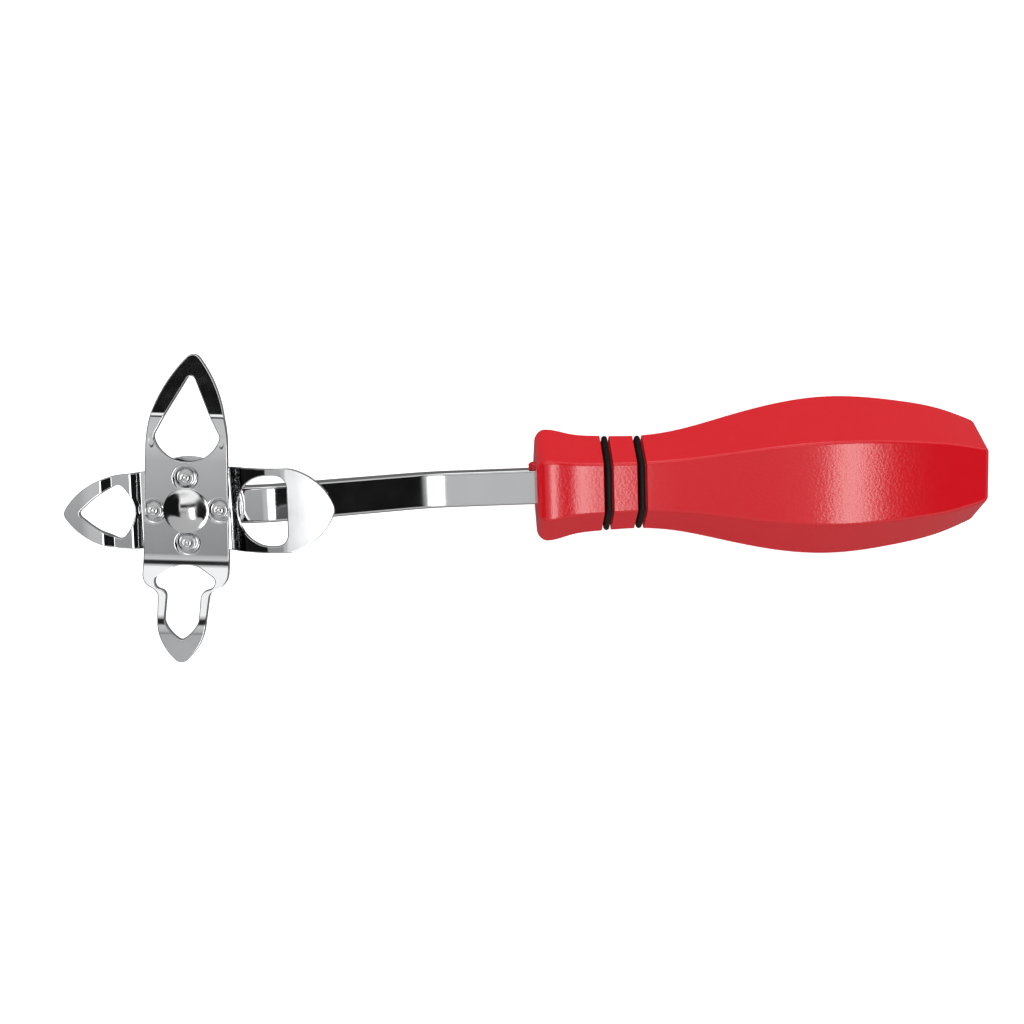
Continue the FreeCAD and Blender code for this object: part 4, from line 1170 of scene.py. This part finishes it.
@dataclass
class RearBlade:
    """The level blade: a beak to the left and a raised spoon to the right."""

    stack: Stack
    beak_reach: float = 25.9
    beak_bow: float = 15.2
    beak_side: Corner = Corner(-13.0, 8.1)
    beak_root: Corner = Corner(-9.5, 8.4)
    beak_step: float = 1.6
    beak_run: float = 1.7
    beak_tip_rise: float = 4.05
    beak_fold: Fold = Fold(-21.8, 3.78, 45.0)
    outer_step: float = -16.4
    inner_step: float = -10.4
    step_curl: float = 0.4
    beak_lead: tuple[Fold, ...] = (Fold(-10.6, 0.25, 0.5), Fold(-9.0, 0.0, 0.8))
    spoon_reach: float = 32.5
    spoon_bow: float = 13.2
    spoon_side: Corner = Corner(22.9, 9.1)
    spoon_root: Corner = Corner(9.6, 9.1)
    spoon_folds: tuple[Fold, ...] = (
        Fold(9.9, 0.0, 0.8), Fold(13.2, 3.0, 10.0), Fold(17.4, 5.35, 8.0),
        Fold(20.8, 5.9, 8.0), Fold(28.2, 4.93, 18.0))
    spoon_tip_rise: float = 4.15
    three_sided_half: tuple[Corner, ...] = (
        Corner(-22.4, 0.0, 1.1), Corner(-21.7, -0.95, 25.0), Corner(-14.8, -5.8, 1.4),
        Corner(-13.3, -5.2, 8.5), Corner(-11.1, 0.0))
    bow_half: tuple[Corner, ...] = (
        Corner(10.8, 0.0, 7.65), Corner(18.45, -7.65), Corner(19.7, -7.65, 2.6),
        Corner(22.3, -5.05), Corner(22.3, 0.0))
    skew: float = math.radians(0.8)
    spare: float = 1.0
    tip_round: float = 1.7

    def outline(self) -> Array:
        """Trace the blade's outline, from the spoon's tip round to the beak's."""
        spoon_tip, spoon_meet = blunted(Corner(self.spoon_reach, 0.0), self.spoon_side,
                                        self.spoon_bow, self.tip_round)
        beak_tip, beak_meet = blunted(Corner(-self.beak_reach, 0.0), self.beak_side,
                                      self.beak_bow, self.tip_round)
        return traced(mirrored([
            Corner(spoon_tip.x, 0.0, self.tip_round),
            Corner(spoon_meet.x, abs(spoon_meet.y), self.spoon_bow),
            self.spoon_side,
            self.spoon_root,
            self.beak_root,
            replace(self.beak_side, bow=self.beak_bow),
            Corner(beak_meet.x, abs(beak_meet.y), self.tip_round),
            beak_tip,
        ], Axis.X))

    def three_sided(self) -> Array:
        """Trace the beak's opening."""
        return traced(mirrored(list(self.three_sided_half), Axis.X))

    def bow(self) -> Array:
        """Trace the spoon's D-shaped opening."""
        return traced(mirrored(list(self.bow_half), Axis.X))

    def folds(self) -> list[Fold]:
        """Return the edge view's lower face from the beak's tip to the spoon's."""
        step = self.beak_step
        rises = [
            Fold(-(self.beak_reach + self.spare), self.beak_tip_rise),
            self.beak_fold,
            Fold(self.outer_step - self.beak_run, step * 2, self.step_curl),
            Fold(self.outer_step, step, self.step_curl),
            Fold(self.inner_step - self.beak_run, step, self.step_curl),
            *self.beak_lead,
            *self.spoon_folds,
            Fold(self.spoon_reach + self.spare, self.spoon_tip_rise),
        ]
        return [replace(fold, height=self.stack.rear_low + fold.height) for fold in rises]

    def shell(self) -> Shell:
        """Build the blade."""
        sheet = Sheet(self.outline(), [self.three_sided(), self.bow()], self.folds(),
                      self.stack.sheet, Axis.X, drilled=self.stack.holes(self.skew))
        return self.stack.on_pivot(sheet.shell(), self.skew)


@dataclass
class Rivets:
    """The domed pivot rivet, the four blade rivets and the back washer."""

    stack: Stack
    dome_width: float = 10.0
    dome_rim: float = 0.2
    dome_slope: float = math.radians(25.0)
    dome_steepest: float = 0.74
    dome_skirt: float = 0.6
    tail_width: float = 8.0
    tail_edge: float = 0.45
    dome_lip: float = 0.05
    head_width: float = 3.7
    head_height: float = 0.7
    head_side: float = 0.38
    head_round: float = 0.22
    head_fall: float = 0.10
    spun_depth: float = 0.16
    spun_place: float = 0.72
    spun_width: float = 0.20
    dimple_depth: float = 0.20
    dimple_width: float = 0.34
    small_tail: float = 3.4
    small_tail_height: float = 0.35
    under_gap: float = 0.01
    washer_width: float = 10.6

    def pivot(self) -> Shell:
        """Turn the pivot rivet: tail, shaft and a low dome that eases out at its edge.

        The dome's slope grows from its middle to the steepest place and then falls
        off again, and its height is the sum of the slopes from the rim inwards.
        """
        low = self.stack.washer_low - self.stack.tail
        top = self.stack.front_top
        half = self.dome_width / 2
        radius = np.linspace(half, 0.0, 120)
        share = radius / half
        inner = np.sin(math.pi / 2 * np.minimum(share / self.dome_steepest, 1.0))
        outer = np.clip((share - self.dome_steepest) / (1 - self.dome_steepest), 0.0, 1.0)
        fall = np.tan(self.dome_slope * (inner - self.dome_skirt * outer ** 2))
        rise = np.concatenate([[0.0], np.cumsum((fall[1:] + fall[:-1]) / 2 * -np.diff(radius))])
        dome = np.column_stack([radius, top + self.dome_rim + rise])
        shaft = self.stack.pivot_width / 2
        tail = self.tail_width / 2
        lower = np.array([
            [0.0, low], [tail - self.tail_edge, low], [tail, low + self.tail_edge],
            [tail, self.stack.washer_low], [shaft, self.stack.washer_low],
            [shaft, top + self.under_gap], [half - self.dome_lip, top + self.under_gap]])
        path = softened(resampled(np.vstack([lower, dome]), 0.07, False), LATHE_PASSES, False)
        return self.stack.on_pivot(lathed(path, (0.0, 0.0), 120))

    def blade_rivet(self, place: tuple[float, float]) -> Shell:
        """Turn a blade rivet: its head has a raised rim and a spun, dimpled middle."""
        seat = self.stack.front_top - self.stack.seat_depth
        low = self.stack.backing_low - self.small_tail_height
        head = self.head_width / 2
        shaft = self.stack.rivet_width / 2
        tail = self.small_tail / 2
        radius = np.linspace(head - self.head_round, 0.0, 60)
        share = radius / head
        top = seat + self.head_height - self.head_fall * share ** 2
        spun = (radius - self.spun_place) / self.spun_width
        top = top - self.spun_depth * np.exp(-(spun ** 2))
        top = top - self.dimple_depth * np.exp(-((radius / self.dimple_width) ** 2))
        lower = np.array([[0.0, low], [tail, low], [tail, self.stack.backing_low],
                          [shaft, self.stack.backing_low], [shaft, seat + self.under_gap],
                          [head, seat + self.under_gap],
                          [head, seat + self.head_height - self.head_side]])
        path = resampled(np.vstack([lower, np.column_stack([radius, top])]), 0.05, False)
        return self.stack.on_pivot(lathed(softened(path, LATHE_PASSES, False), place, 64))

    def washer(self) -> Shell:
        """Turn the back washer with softly rounded edges."""
        half = self.washer_width / 2
        bore = self.stack.pivot_width / 2
        low, top = self.stack.washer_low, self.stack.washer_top
        loop = np.array([[bore, low], [half, low], [half, top], [bore, top]])
        path = softened(resampled(loop, 0.06, True), LATHE_PASSES, True)
        return self.stack.on_pivot(lathed(path, (0.0, 0.0), 96, closed=True))


@dataclass
class Shank:
    """The cranked flat bar, its eye, and the index spring that lies on it."""

    stack: Stack
    width: float = 8.2
    crank_start: float = 16.5
    crank_start_curl: float = 7.0
    crank_end: float = 51.8
    crank_end_curl: float = 25.0
    spare: float = 1.0
    reach: float = 76.5
    tang: float = 62.0
    eye_width: float = 13.0
    edge: float = 0.8
    leaf: float = 0.4
    leaf_lift: float = 0.35
    leaf_hub: float = 4.8
    leaf_half: float = 3.2
    leaf_reach: float = 10.2
    leaf_step: tuple[float, float] = (3.8, 4.8)
    leaf_curl: float = 1.0
    window: float = 2.15
    pip_place: float = 4.2
    pip_width: float = 1.4
    pip_depth: float = 1.0
    pip_bite: float = 0.1

    def bar(self) -> Shell:
        """Build the bar: a round eye that runs into a straight-sided strip."""
        half = self.width / 2
        eye = self.eye_width / 2
        end = self.reach + self.tang
        neck = math.sqrt(eye * eye - half * half)
        outline = traced(mirrored([Corner(end, 0.0), Corner(end, half), Corner(neck, half, eye),
                                   Corner(-eye, 0.0)], Axis.X))
        level = self.stack.bar / 2
        folds = [Fold(-eye - self.spare, self.stack.eye_low),
                 Fold(self.crank_start, self.stack.eye_low, self.crank_start_curl),
                 Fold(self.crank_end, -level, self.crank_end_curl),
                 Fold(end + self.spare, -level)]
        bore = circle(0.0, 0.0, self.stack.pivot_width / 2 + self.stack.play, 64)
        sheet = Sheet(outline, [], folds, self.stack.bar, Axis.X, edge=self.edge, spacing=0.6,
                      rim_step=0.3, drilled=[bore])
        return self.stack.on_eye(sheet.shell())

    def spring(self) -> Shell:
        """Build the index spring, its window and the pip that locates it."""
        outline = traced(mirrored([
            Corner(self.leaf_reach, 0.0), Corner(self.leaf_reach, self.leaf_half),
            Corner(math.sqrt(self.leaf_hub ** 2 - self.leaf_half ** 2), self.leaf_half,
                   self.leaf_hub),
            Corner(-self.leaf_hub, 0.0)], Axis.X))
        top = self.stack.eye_top
        start, end = self.leaf_step
        folds = [Fold(-self.leaf_hub - self.spare, top), Fold(start, top, self.leaf_curl),
                 Fold(end, top + self.leaf_lift, self.leaf_curl),
                 Fold(self.leaf_reach + self.spare, top + self.leaf_lift)]
        holes = [circle(0.0, 0.0, self.stack.pivot_width / 2 + self.stack.play),
                 circle(self.stack.rivet_circle, 0.0, self.window)]
        sheet = Sheet(outline, [], folds, self.leaf, Axis.X, edge=0.08, spacing=0.35,
                      drilled=holes)
        half = self.pip_width / 2
        path = resampled(np.array([[0.0, top - self.pip_depth], [half, top - self.pip_depth],
                                   [half, top + self.pip_bite], [0.0, top + self.pip_bite]]),
                         0.08, False)
        pip = lathed(softened(path, 2, False), (-self.pip_place, 0.0), 32)
        return self.stack.on_eye(joined([sheet.shell(), pip]))


@dataclass
class Handle:
    """The moulded six-sided handle with its socket, and the two rings on it."""

    length: float = 103.0
    places: tuple[float, ...] = (0.0, 2.6, 8.0, 15.0, 24.0, 33.7, 43.0, 52.3, 68.0, 85.0, 95.2,
                                 103.0)
    widths: tuple[float, ...] = (25.8, 26.4, 24.1, 22.6, 22.1, 24.3, 28.8, 33.3, 37.2, 34.0, 29.3,
                                 22.9)
    front_round: float = 2.4
    butt_round: float = 1.2
    crease: float = 1.1
    crease_loss: float = 0.6
    least_crease: float = 0.25
    station_step: float = 0.6
    slope_step: float = 0.05
    lip: float = 0.18
    groove_width: float = 2.1
    groove_depth: float = 1.3
    groove_places: tuple[float, float] = (16.3, 23.9)
    cord: float = 1.4
    ring_corner: float = 1.2
    socket_length: float = 62.0
    socket_width: float = 8.2
    socket_height: float = 4.8
    flash_size: tuple[float, float, float] = (0.95, 1.1, 1.35)
    flash_waves: tuple[float, float] = (0.16, 0.10)
    flash_shift: tuple[float, float, float] = (0.7, -0.5, -0.1)
    arc_points: int = 9
    flat_points: int = 14

    def half_flat(self, x: Array) -> Array:
        """Return half the distance between flats at places from the front face.

        The widths at the stations are joined by a natural cubic spline.
        """
        knots, values = np.array(self.places), np.array(self.widths)
        gap = np.diff(knots)
        count = len(knots)
        system = np.eye(count)
        right = np.zeros(count)
        for k in range(1, count - 1):
            system[k, k - 1:k + 2] = gap[k - 1], 2 * (gap[k - 1] + gap[k]), gap[k]
            right[k] = 6 * ((values[k + 1] - values[k]) / gap[k]
                            - (values[k] - values[k - 1]) / gap[k - 1])
        bend = np.linalg.solve(system, right)
        k = np.clip(np.searchsorted(knots, x) - 1, 0, count - 2)
        t0, t1 = x - knots[k], knots[k + 1] - x
        wide = ((bend[k] * t1 ** 3 + bend[k + 1] * t0 ** 3) / (6 * gap[k])
                + (values[k] / gap[k] - bend[k] * gap[k] / 6) * t1
                + (values[k + 1] / gap[k] - bend[k + 1] * gap[k] / 6) * t0)
        return wide / 2 * math.cos(math.pi / 6)

    def section(self, flat: Array, corner: Array) -> tuple[Array, Array, Array]:
        """Return six-sided sections with rounded corners.

        A corner's arc of radius r is centred (flat - r) / cos 30 out along the corner,
        and the flats join the arcs' ends.

        Args:
            flat: Half the distance between flats, of shape (R,).
            corner: Radius of the corners, of shape (R,).

        Returns:
            Points of shape (R, C, 2), the normal's angle of shape (C,) and its angle
            from the nearest corner, of shape (C,).
        """
        lean = np.linspace(-math.pi / 6, math.pi / 6, self.arc_points)
        corners = np.arange(6) * math.pi / 3
        angle = corners[:, None] + lean[None]
        out = np.stack([np.cos(corners), np.sin(corners)], axis=1)
        reach = (flat - corner) / math.cos(math.pi / 6)
        centre = reach[:, None, None, None] * out[None, :, None]
        arcs = centre + corner[:, None, None, None] * np.stack(
            [np.cos(angle), np.sin(angle)], axis=-1)[None]
        share = np.linspace(0, 1, self.flat_points + 2)[1:-1][None, None, :, None]
        following = np.roll(arcs[:, :, :1], -1, axis=1)
        flats = arcs[:, :, -1:] * (1 - share) + following * share
        points = np.concatenate([arcs, flats], axis=2).reshape(len(flat), -1, 2)
        still = np.full((6, self.flat_points), math.pi / 6)
        from_corner = np.concatenate([np.broadcast_to(lean, (6, self.arc_points)), still], axis=1)
        normal = (corners[:, None] + from_corner).reshape(-1)
        return points, normal, from_corner.reshape(-1)

    def profile(self) -> Array:
        """Return the side profile as rows of place, inset and the normal's tilt.

        The front and butt edges are quarter circles, and so are the lips of the
        grooves. A tilt of +90 degrees faces +X and of -90 degrees faces -X.
        """
        quarter = np.linspace(0.0, math.pi / 2, 9)
        r = self.front_round
        rows = [np.column_stack([r - r * np.sin(quarter), r - r * np.cos(quarter),
                                 -quarter])[::-1]]
        lip = self.lip
        start = r
        for middle in self.groove_places:
            left, right = middle - self.groove_width / 2, middle + self.groove_width / 2
            rows.append(self.run(start, left - lip))
            rows.append(np.column_stack([left - lip + lip * np.sin(quarter),
                                         lip - lip * np.cos(quarter), quarter]))
            rows.append(np.array([[left, self.groove_depth, math.pi / 2],
                                  [left, self.groove_depth, 0.0],
                                  [right, self.groove_depth, 0.0],
                                  [right, self.groove_depth, -math.pi / 2]]))
            rows.append(np.column_stack([right + lip - lip * np.sin(quarter),
                                         lip - lip * np.cos(quarter), -quarter])[::-1])
            start = right + lip
        b = self.butt_round
        rows.append(self.run(start, self.length - b))
        rows.append(np.column_stack([self.length - b + b * np.sin(quarter),
                                     b - b * np.cos(quarter), quarter]))
        return np.vstack(rows)

    def run(self, start: float, end: float) -> Array:
        """Return plain rows of the profile between two places."""
        count = max(int((end - start) / self.station_step), 4)
        places = np.linspace(start, end, count)[1:-1]
        return np.column_stack([places, places * 0, places * 0])

    def skin(self) -> tuple[Shell, Array, Array]:
        """Build the outer skin, and return it with its front and butt rings."""
        place, inset, tilt = self.profile().T
        flat = self.half_flat(place) - inset
        step = self.slope_step
        rate = (self.half_flat(place + step) - self.half_flat(place - step)) / (2 * step)
        corner = np.maximum(self.crease - inset * self.crease_loss, self.least_crease)
        plan, angle, from_corner = self.section(flat, corner)
        up = np.broadcast_to((place - self.length)[:, None, None], (*plan.shape[:2], 1))
        points = np.concatenate([plan, up], axis=2)
        lean = rate[:, None] * np.cos(from_corner)[None] / math.cos(math.pi / 6)
        outward = np.stack([np.broadcast_to(np.cos(angle), lean.shape),
                            np.broadcast_to(np.sin(angle), lean.shape), -lean], axis=2)
        axis = np.array([0.0, 0.0, 1.0])
        turn = tilt[:, None, None]
        normals = unit(unit(outward) * np.cos(turn) + axis * np.sin(turn))
        return woven(points, normals), plan[0], plan[-1]

    def plug(self, loops: list[Array], level: float, upward: bool) -> Shell:
        """Fill flat rings at a level with a face."""
        plan, triangles = filled(loops, np.zeros((0, 2)))
        points = np.column_stack([plan, np.full(len(plan), level)])
        face = Shell(points, np.tile([0.0, 0.0, 1.0], (len(plan), 1)), triangles)
        return face if upward else face.flipped()

    def grip(self) -> Shell:
        """Build the handle: skin, both end faces and the socket for the tang."""
        skin, front, butt = self.skin()
        half_width, half_height = self.socket_width / 2, self.socket_height / 2
        square = np.array([[half_width, -half_height], [half_width, half_height],
                           [-half_width, half_height], [-half_width, -half_height]])
        mouth = directed(softened(resampled(square, 0.25, True), 4, True), False)
        outward = rightward(tangents(mouth, True))
        levels = np.array([-self.length, -self.length + self.socket_length])
        wall = np.concatenate([np.broadcast_to(mouth, (2, *mouth.shape)),
                               np.broadcast_to(levels[:, None, None], (2, len(mouth), 1))], axis=2)
        lean = np.broadcast_to(np.column_stack([outward, np.zeros(len(mouth))]), wall.shape)
        parts = [skin, self.plug([butt], 0.0, True), self.plug([front, mouth], levels[0], False),
                 woven(wall, lean), self.plug([mouth], levels[1], False)]
        return joined(parts).standing()

    def flash(self) -> Shell:
        """Build the small lump of moulding flash beside the bar: a wavy ball."""
        around = np.linspace(0, 2 * math.pi, 40, endpoint=False)
        rise = np.linspace(0, math.pi, 22)
        t, p = np.meshgrid(around, rise)
        long_wave, short_wave = self.flash_waves
        wave = (1 + long_wave * np.sin(3 * t + 1.0) * np.sin(2 * p)
                + short_wave * np.cos(5 * t) * np.sin(p))
        wide, high, deep = self.flash_size
        ball = np.stack([wide * np.cos(t) * np.sin(p), high * np.sin(t) * np.sin(p),
                         -deep * np.cos(p)], axis=2) * wave[..., None]
        beside = [self.socket_width / 2, self.socket_height / 2, -self.length]
        centre = np.array(beside) + np.array(self.flash_shift)
        return joined([woven(ball + centre, unit(ball))]).standing()

    def ring(self, place: float) -> Shell:
        """Sweep a ring's round cord along a six-sided line in its groove."""
        flat = self.half_flat(np.array([place])) - self.groove_depth + self.cord / 2
        line, angle, _ = self.section(flat, np.array([self.ring_corner]))
        turn = np.linspace(0, 2 * math.pi, 24, endpoint=False)[:, None]
        columns = (len(turn), len(angle))
        normals = np.stack([np.cos(turn) * np.cos(angle), np.cos(turn) * np.sin(angle),
                            np.broadcast_to(np.sin(turn), columns)], axis=2)
        middle = np.concatenate([np.broadcast_to(line, (*columns, 2)),
                                 np.full((*columns, 1), place - self.length)], axis=2)
        return woven(middle + normals * self.cord / 2, normals, close_rows=True).standing()


# ------------------------------------------------------------------ sub-assemblies

@dataclass
class HeadAssembly:
    """Everything that turns: both blades, the backing plate, rivets and washer."""

    stack: Stack
    backing_width: float = 23.0

    def backing(self) -> Shell:
        """Build the round backing plate."""
        low = self.stack.backing_low
        reach = self.backing_width / 2
        folds = [Fold(-reach - 1, low), Fold(0.0, low), Fold(reach + 1, low)]
        sheet = Sheet(circle(0.0, 0.0, reach, 240), [], folds, self.stack.backing, Axis.X,
                      edge=0.2, spacing=0.8, rim_step=0.3, drilled=self.stack.holes())
        return self.stack.on_pivot(sheet.shell())

    def build(self, shop: Workshop) -> None:
        """Build and dress the head's pieces."""
        rivets = Rivets(self.stack)
        shop.piece("front_blade_sheet", FrontBlade(self.stack).shell(), Body.HEAD, Slot.BLADE,
                   ["front_blade"])
        shop.piece("rear_blade_sheet", RearBlade(self.stack).shell(), Body.HEAD, Slot.BLADE,
                   ["rear_blade"])
        shop.piece("backing_disc", self.backing(), Body.HEAD, Slot.BACKING, ["backing_plate"])
        shop.piece("domed_pivot", rivets.pivot(), Body.HEAD, Slot.RIVET, ["pivot_rivet"])
        shop.piece("washer_under_eye", rivets.washer(), Body.HEAD, Slot.WASHER, ["back_washer"])
        for side, place in self.stack.rivets().items():
            shop.piece("spun_rivet_" + side, rivets.blade_rivet(place), Body.HEAD, Slot.RIVET,
                       ["blade_rivet_" + side])


@dataclass
class HandleAssembly:
    """Everything that is held still: handle, rings, shank and index spring."""

    stack: Stack

    def build(self, shop: Workshop) -> None:
        """Build and dress the pieces that stay with the handle."""
        handle = Handle()
        shank = Shank(self.stack)
        shop.piece("moulded_grip", joined([handle.grip(), handle.flash()]), Body.HANDLE,
                   Slot.GRIP, ["handle_grip"])
        for name, place in zip(("front", "rear"), handle.groove_places):
            shop.piece(name + "_rubber_ring", handle.ring(place), Body.HANDLE, Slot.RING,
                       [name + "_ring"])
        shop.piece("cranked_bar", shank.bar(), Body.HANDLE, Slot.SHANK, ["shank"])
        shop.piece("index_leaf", shank.spring(), Body.HANDLE, Slot.SPRING, ["index_spring"])


# ------------------------------------------------------------------ studio

@dataclass(frozen=True)
class Panel:
    """A light or dark panel of the studio, by its angles from straight up.

    u is the angle towards +X and v the angle towards +Y, both in degrees.
    """

    u: tuple[float, float]
    v: tuple[float, float]
    blur: float
    light: float


@dataclass
class Studio:
    """The pale floor, the soft panels round the tool, the lights and the camera."""

    target: tuple[float, float, float] = (-108.64, -5.98, 0.0)
    distance: float = 319.4
    lean_x: float = math.radians(-1.1)
    lean_y: float = math.radians(8.13)
    roll: float = math.radians(-2.1)
    lens: float = 48.1
    sensor: float = 36.0
    clip: tuple[float, float] = (0.01, 50.0)
    floor_size: float = 6.0
    floor_tone: float = 0.92
    # Tone of the floor in reflections: painted shade for the tool's shadow on the floor.
    floor_shade_in_reflections: float = 0.16
    floor_glow: float = 0.55
    lamp_place: tuple[float, float, float] = (0.05, 0.62, 0.72)
    lamp_target: tuple[float, float, float] = (-0.09, 0.0, 0.0)
    lamp_width: float = 0.9
    lamp_watts: float = 4.0
    dim_edge: float = -12.5
    bright_edge: float = -5.5
    rise_end: float = 6.5
    dim: float = 0.20
    bright: float = 0.64
    rise: float = 0.20
    panels: tuple[Panel, ...] = (
        Panel((-31, 30), (-200, -11.6), 1.5, 0.62),
        Panel((-35, 90), (-200, -24.5), 3.0, 0.66),
        Panel((-3.5, 9), (-39, 4.4), 3.0, 0.72),
        Panel((9.6, 23.5), (-39, 4.4), 4.2, 6.0),
        Panel((-31, 29), (9.4, 22.4), 3.0, 0.03),
        Panel((-31, 29), (27.4, 42.4), 2.0, 1.35),
        Panel((-41, 39), (46.5, 57.5), 2.0, 0.01),
        Panel((-41, 39), (61.5, 95), 3.0, 1.8),
        Panel((-72, -33), (-200, -35), 3.0, 0.66),
        Panel((30, 80), (-35, 45), 2.5, 0.01),
        Panel((-72, -36), (-35, 45), 2.5, 0.01),
        Panel((-135, -70), (-200, 95), 2.5, 0.01),
    )

    def build(self) -> None:
        """Build the whole studio."""
        self.floor()
        self.sky()
        self.lights()
        self.camera()
        bpy.context.scene.view_settings.view_transform = "Standard"

    def floor(self) -> None:
        """Lay the pale floor under the lowest point of the tool. Glossy rays see it much darker:
        painted shade that stands in for the tool's shadow on the floor.
        """
        level = CAD_BOX[0][2]
        half = self.floor_size / 2
        mesh = bpy.data.meshes.new("pale_floor")
        mesh.from_pydata([(-half, -half, level), (half, -half, level), (half, half, level),
                          (-half, half, level)], [], [(0, 1, 2, 3)])
        made = bpy.data.objects.new("pale_floor", mesh)
        bpy.context.scene.collection.objects.link(made)
        paper = bpy.data.materials.new("pale_paper")
        paper.use_nodes = True
        nodes = Nodes(paper.node_tree)
        shader = nodes.add("ShaderNodeBsdfPrincipled", Roughness=0.9)
        shader.inputs["Specular IOR Level"].default_value = 0.0
        shader.inputs["Emission Color"].default_value = (1.0, 1.0, 1.0, 1.0)
        # Glossy rays get the dark tone and no glow: painted shade for the tool's shadow on the
        # floor, as the tool reflects it.
        mirrored_ray = nodes.add("ShaderNodeLightPath").outputs["Is Glossy Ray"]
        paper_tone_and_reflected_shade = nodes.add("ShaderNodeMix", {"data_type": "RGBA"}, Factor=mirrored_ray)
        for socket, tone in (("A", self.floor_tone), ("B", self.floor_shade_in_reflections)):
            paper_tone_and_reflected_shade.inputs[socket].default_value = (tone, tone, tone, 1.0)
        nodes.feed(shader.inputs["Base Color"], paper_tone_and_reflected_shade.outputs["Result"])
        glow = nodes.add("ShaderNodeMapRange", Value=mirrored_ray, From_Min=0.0, From_Max=1.0,
                         To_Min=self.floor_glow, To_Max=0.0)
        nodes.feed(shader.inputs["Emission Strength"], glow.outputs[0])
        end = nodes.add("ShaderNodeOutputMaterial")
        nodes.feed(end.inputs["Surface"], shader.outputs[0])
        mesh.materials.append(paper)

    def sky(self) -> None:
        """Paint the studio's panels on the sky, for what the plating reflects.

        The direction (x, y, z) gives u = atan2(x, z) and v = atan2(y, z). Under the
        panels the light climbs with v, steeply to the bright edge and slowly after it.
        """
        world = bpy.data.worlds.new("studio_sky")
        bpy.context.scene.world = world
        world.use_nodes = True
        nodes = Nodes(world.node_tree)
        way = nodes.add("ShaderNodeTexCoord").outputs["Generated"]
        parts = nodes.add("ShaderNodeSeparateXYZ", Vector=way)
        angles = []
        for axis in ("X", "Y"):
            turn = nodes.math("ARCTAN2", parts.outputs[axis], parts.outputs["Z"])
            angles.append(nodes.math("DEGREES", turn))
        u, v = angles
        base = nodes.add("ShaderNodeMapRange", {"interpolation_type": "LINEAR"}, Value=v,
                         From_Min=self.dim_edge, From_Max=self.bright_edge,
                         To_Min=self.dim, To_Max=self.bright)
        rise = nodes.add("ShaderNodeMapRange", {"interpolation_type": "LINEAR"}, Value=v,
                         From_Min=self.bright_edge, From_Max=self.rise_end,
                         To_Min=0.0, To_Max=self.rise)
        light = nodes.math("ADD", base.outputs[0], rise.outputs[0])
        for panel in self.panels:
            mask = nodes.math("MULTIPLY", nodes.window(u, *panel.u, panel.blur),
                              nodes.window(v, *panel.v, panel.blur))
            mix = nodes.add("ShaderNodeMix", {"data_type": "FLOAT"}, Factor=mask, A=light,
                            B=panel.light)
            light = mix.outputs["Result"]
        path = nodes.add("ShaderNodeLightPath")
        seen = nodes.math("MAXIMUM", path.outputs["Is Camera Ray"],
                          path.outputs["Is Diffuse Ray"])
        mix = nodes.add("ShaderNodeMix", {"data_type": "FLOAT"}, Factor=seen, A=light, B=1.0)
        shade = nodes.add("ShaderNodeBackground", Strength=mix.outputs["Result"])
        end = nodes.add("ShaderNodeOutputWorld")
        nodes.feed(end.inputs["Surface"], shade.outputs[0])

    def lights(self) -> None:
        """Hang one wide soft lamp that shades the matt surfaces only."""
        lamp = bpy.data.lights.new("soft_lamp", "AREA")
        lamp.shape = "DISK"
        lamp.size = self.lamp_width
        lamp.energy = self.lamp_watts
        made = bpy.data.objects.new("soft_lamp", lamp)
        bpy.context.scene.collection.objects.link(made)
        made.location = self.lamp_place
        away = Vector(self.lamp_place) - Vector(self.lamp_target)
        made.rotation_euler = away.to_track_quat("Z", "Y").to_euler()
        made.visible_glossy = False
        made.visible_camera = False

    def camera(self) -> None:
        """Set the camera over the tool, a little towards +Y and the head."""
        back = Vector((math.sin(self.lean_x), math.sin(self.lean_y), 1.0))
        back.z = math.sqrt(max(1 - back.x ** 2 - back.y ** 2, 0.0))
        right = Vector((1, 0, 0)) - back * back.x
        right.normalize()
        right = right * math.cos(self.roll) + back.cross(right) * math.sin(self.roll)
        above = back.cross(right)
        lens = bpy.data.cameras.new("viewpoint")
        lens.lens = self.lens
        lens.sensor_width = self.sensor
        made = bpy.data.objects.new("viewpoint", lens)
        bpy.context.scene.collection.objects.link(made)
        place = (Vector(self.target) + back * self.distance) * MM
        axes = Matrix((right, above, back)).transposed().to_4x4()
        made.matrix_world = Matrix.Translation(place) @ axes
        lens.clip_start, lens.clip_end = self.clip
        bpy.context.scene.camera = made


def main() -> None:
    """Build the studio, the handle and the head."""
    logging.basicConfig(level=logging.INFO, format="%(message)s")
    Studio().build()
    effects = Effects()
    shop = Workshop({slot: finish.material(effects) for slot, finish in FINISHES.items()})
    stack = Stack()
    HandleAssembly(stack).build(shop)
    HeadAssembly(stack).build(shop)


if __name__ == "__main__":
    main()
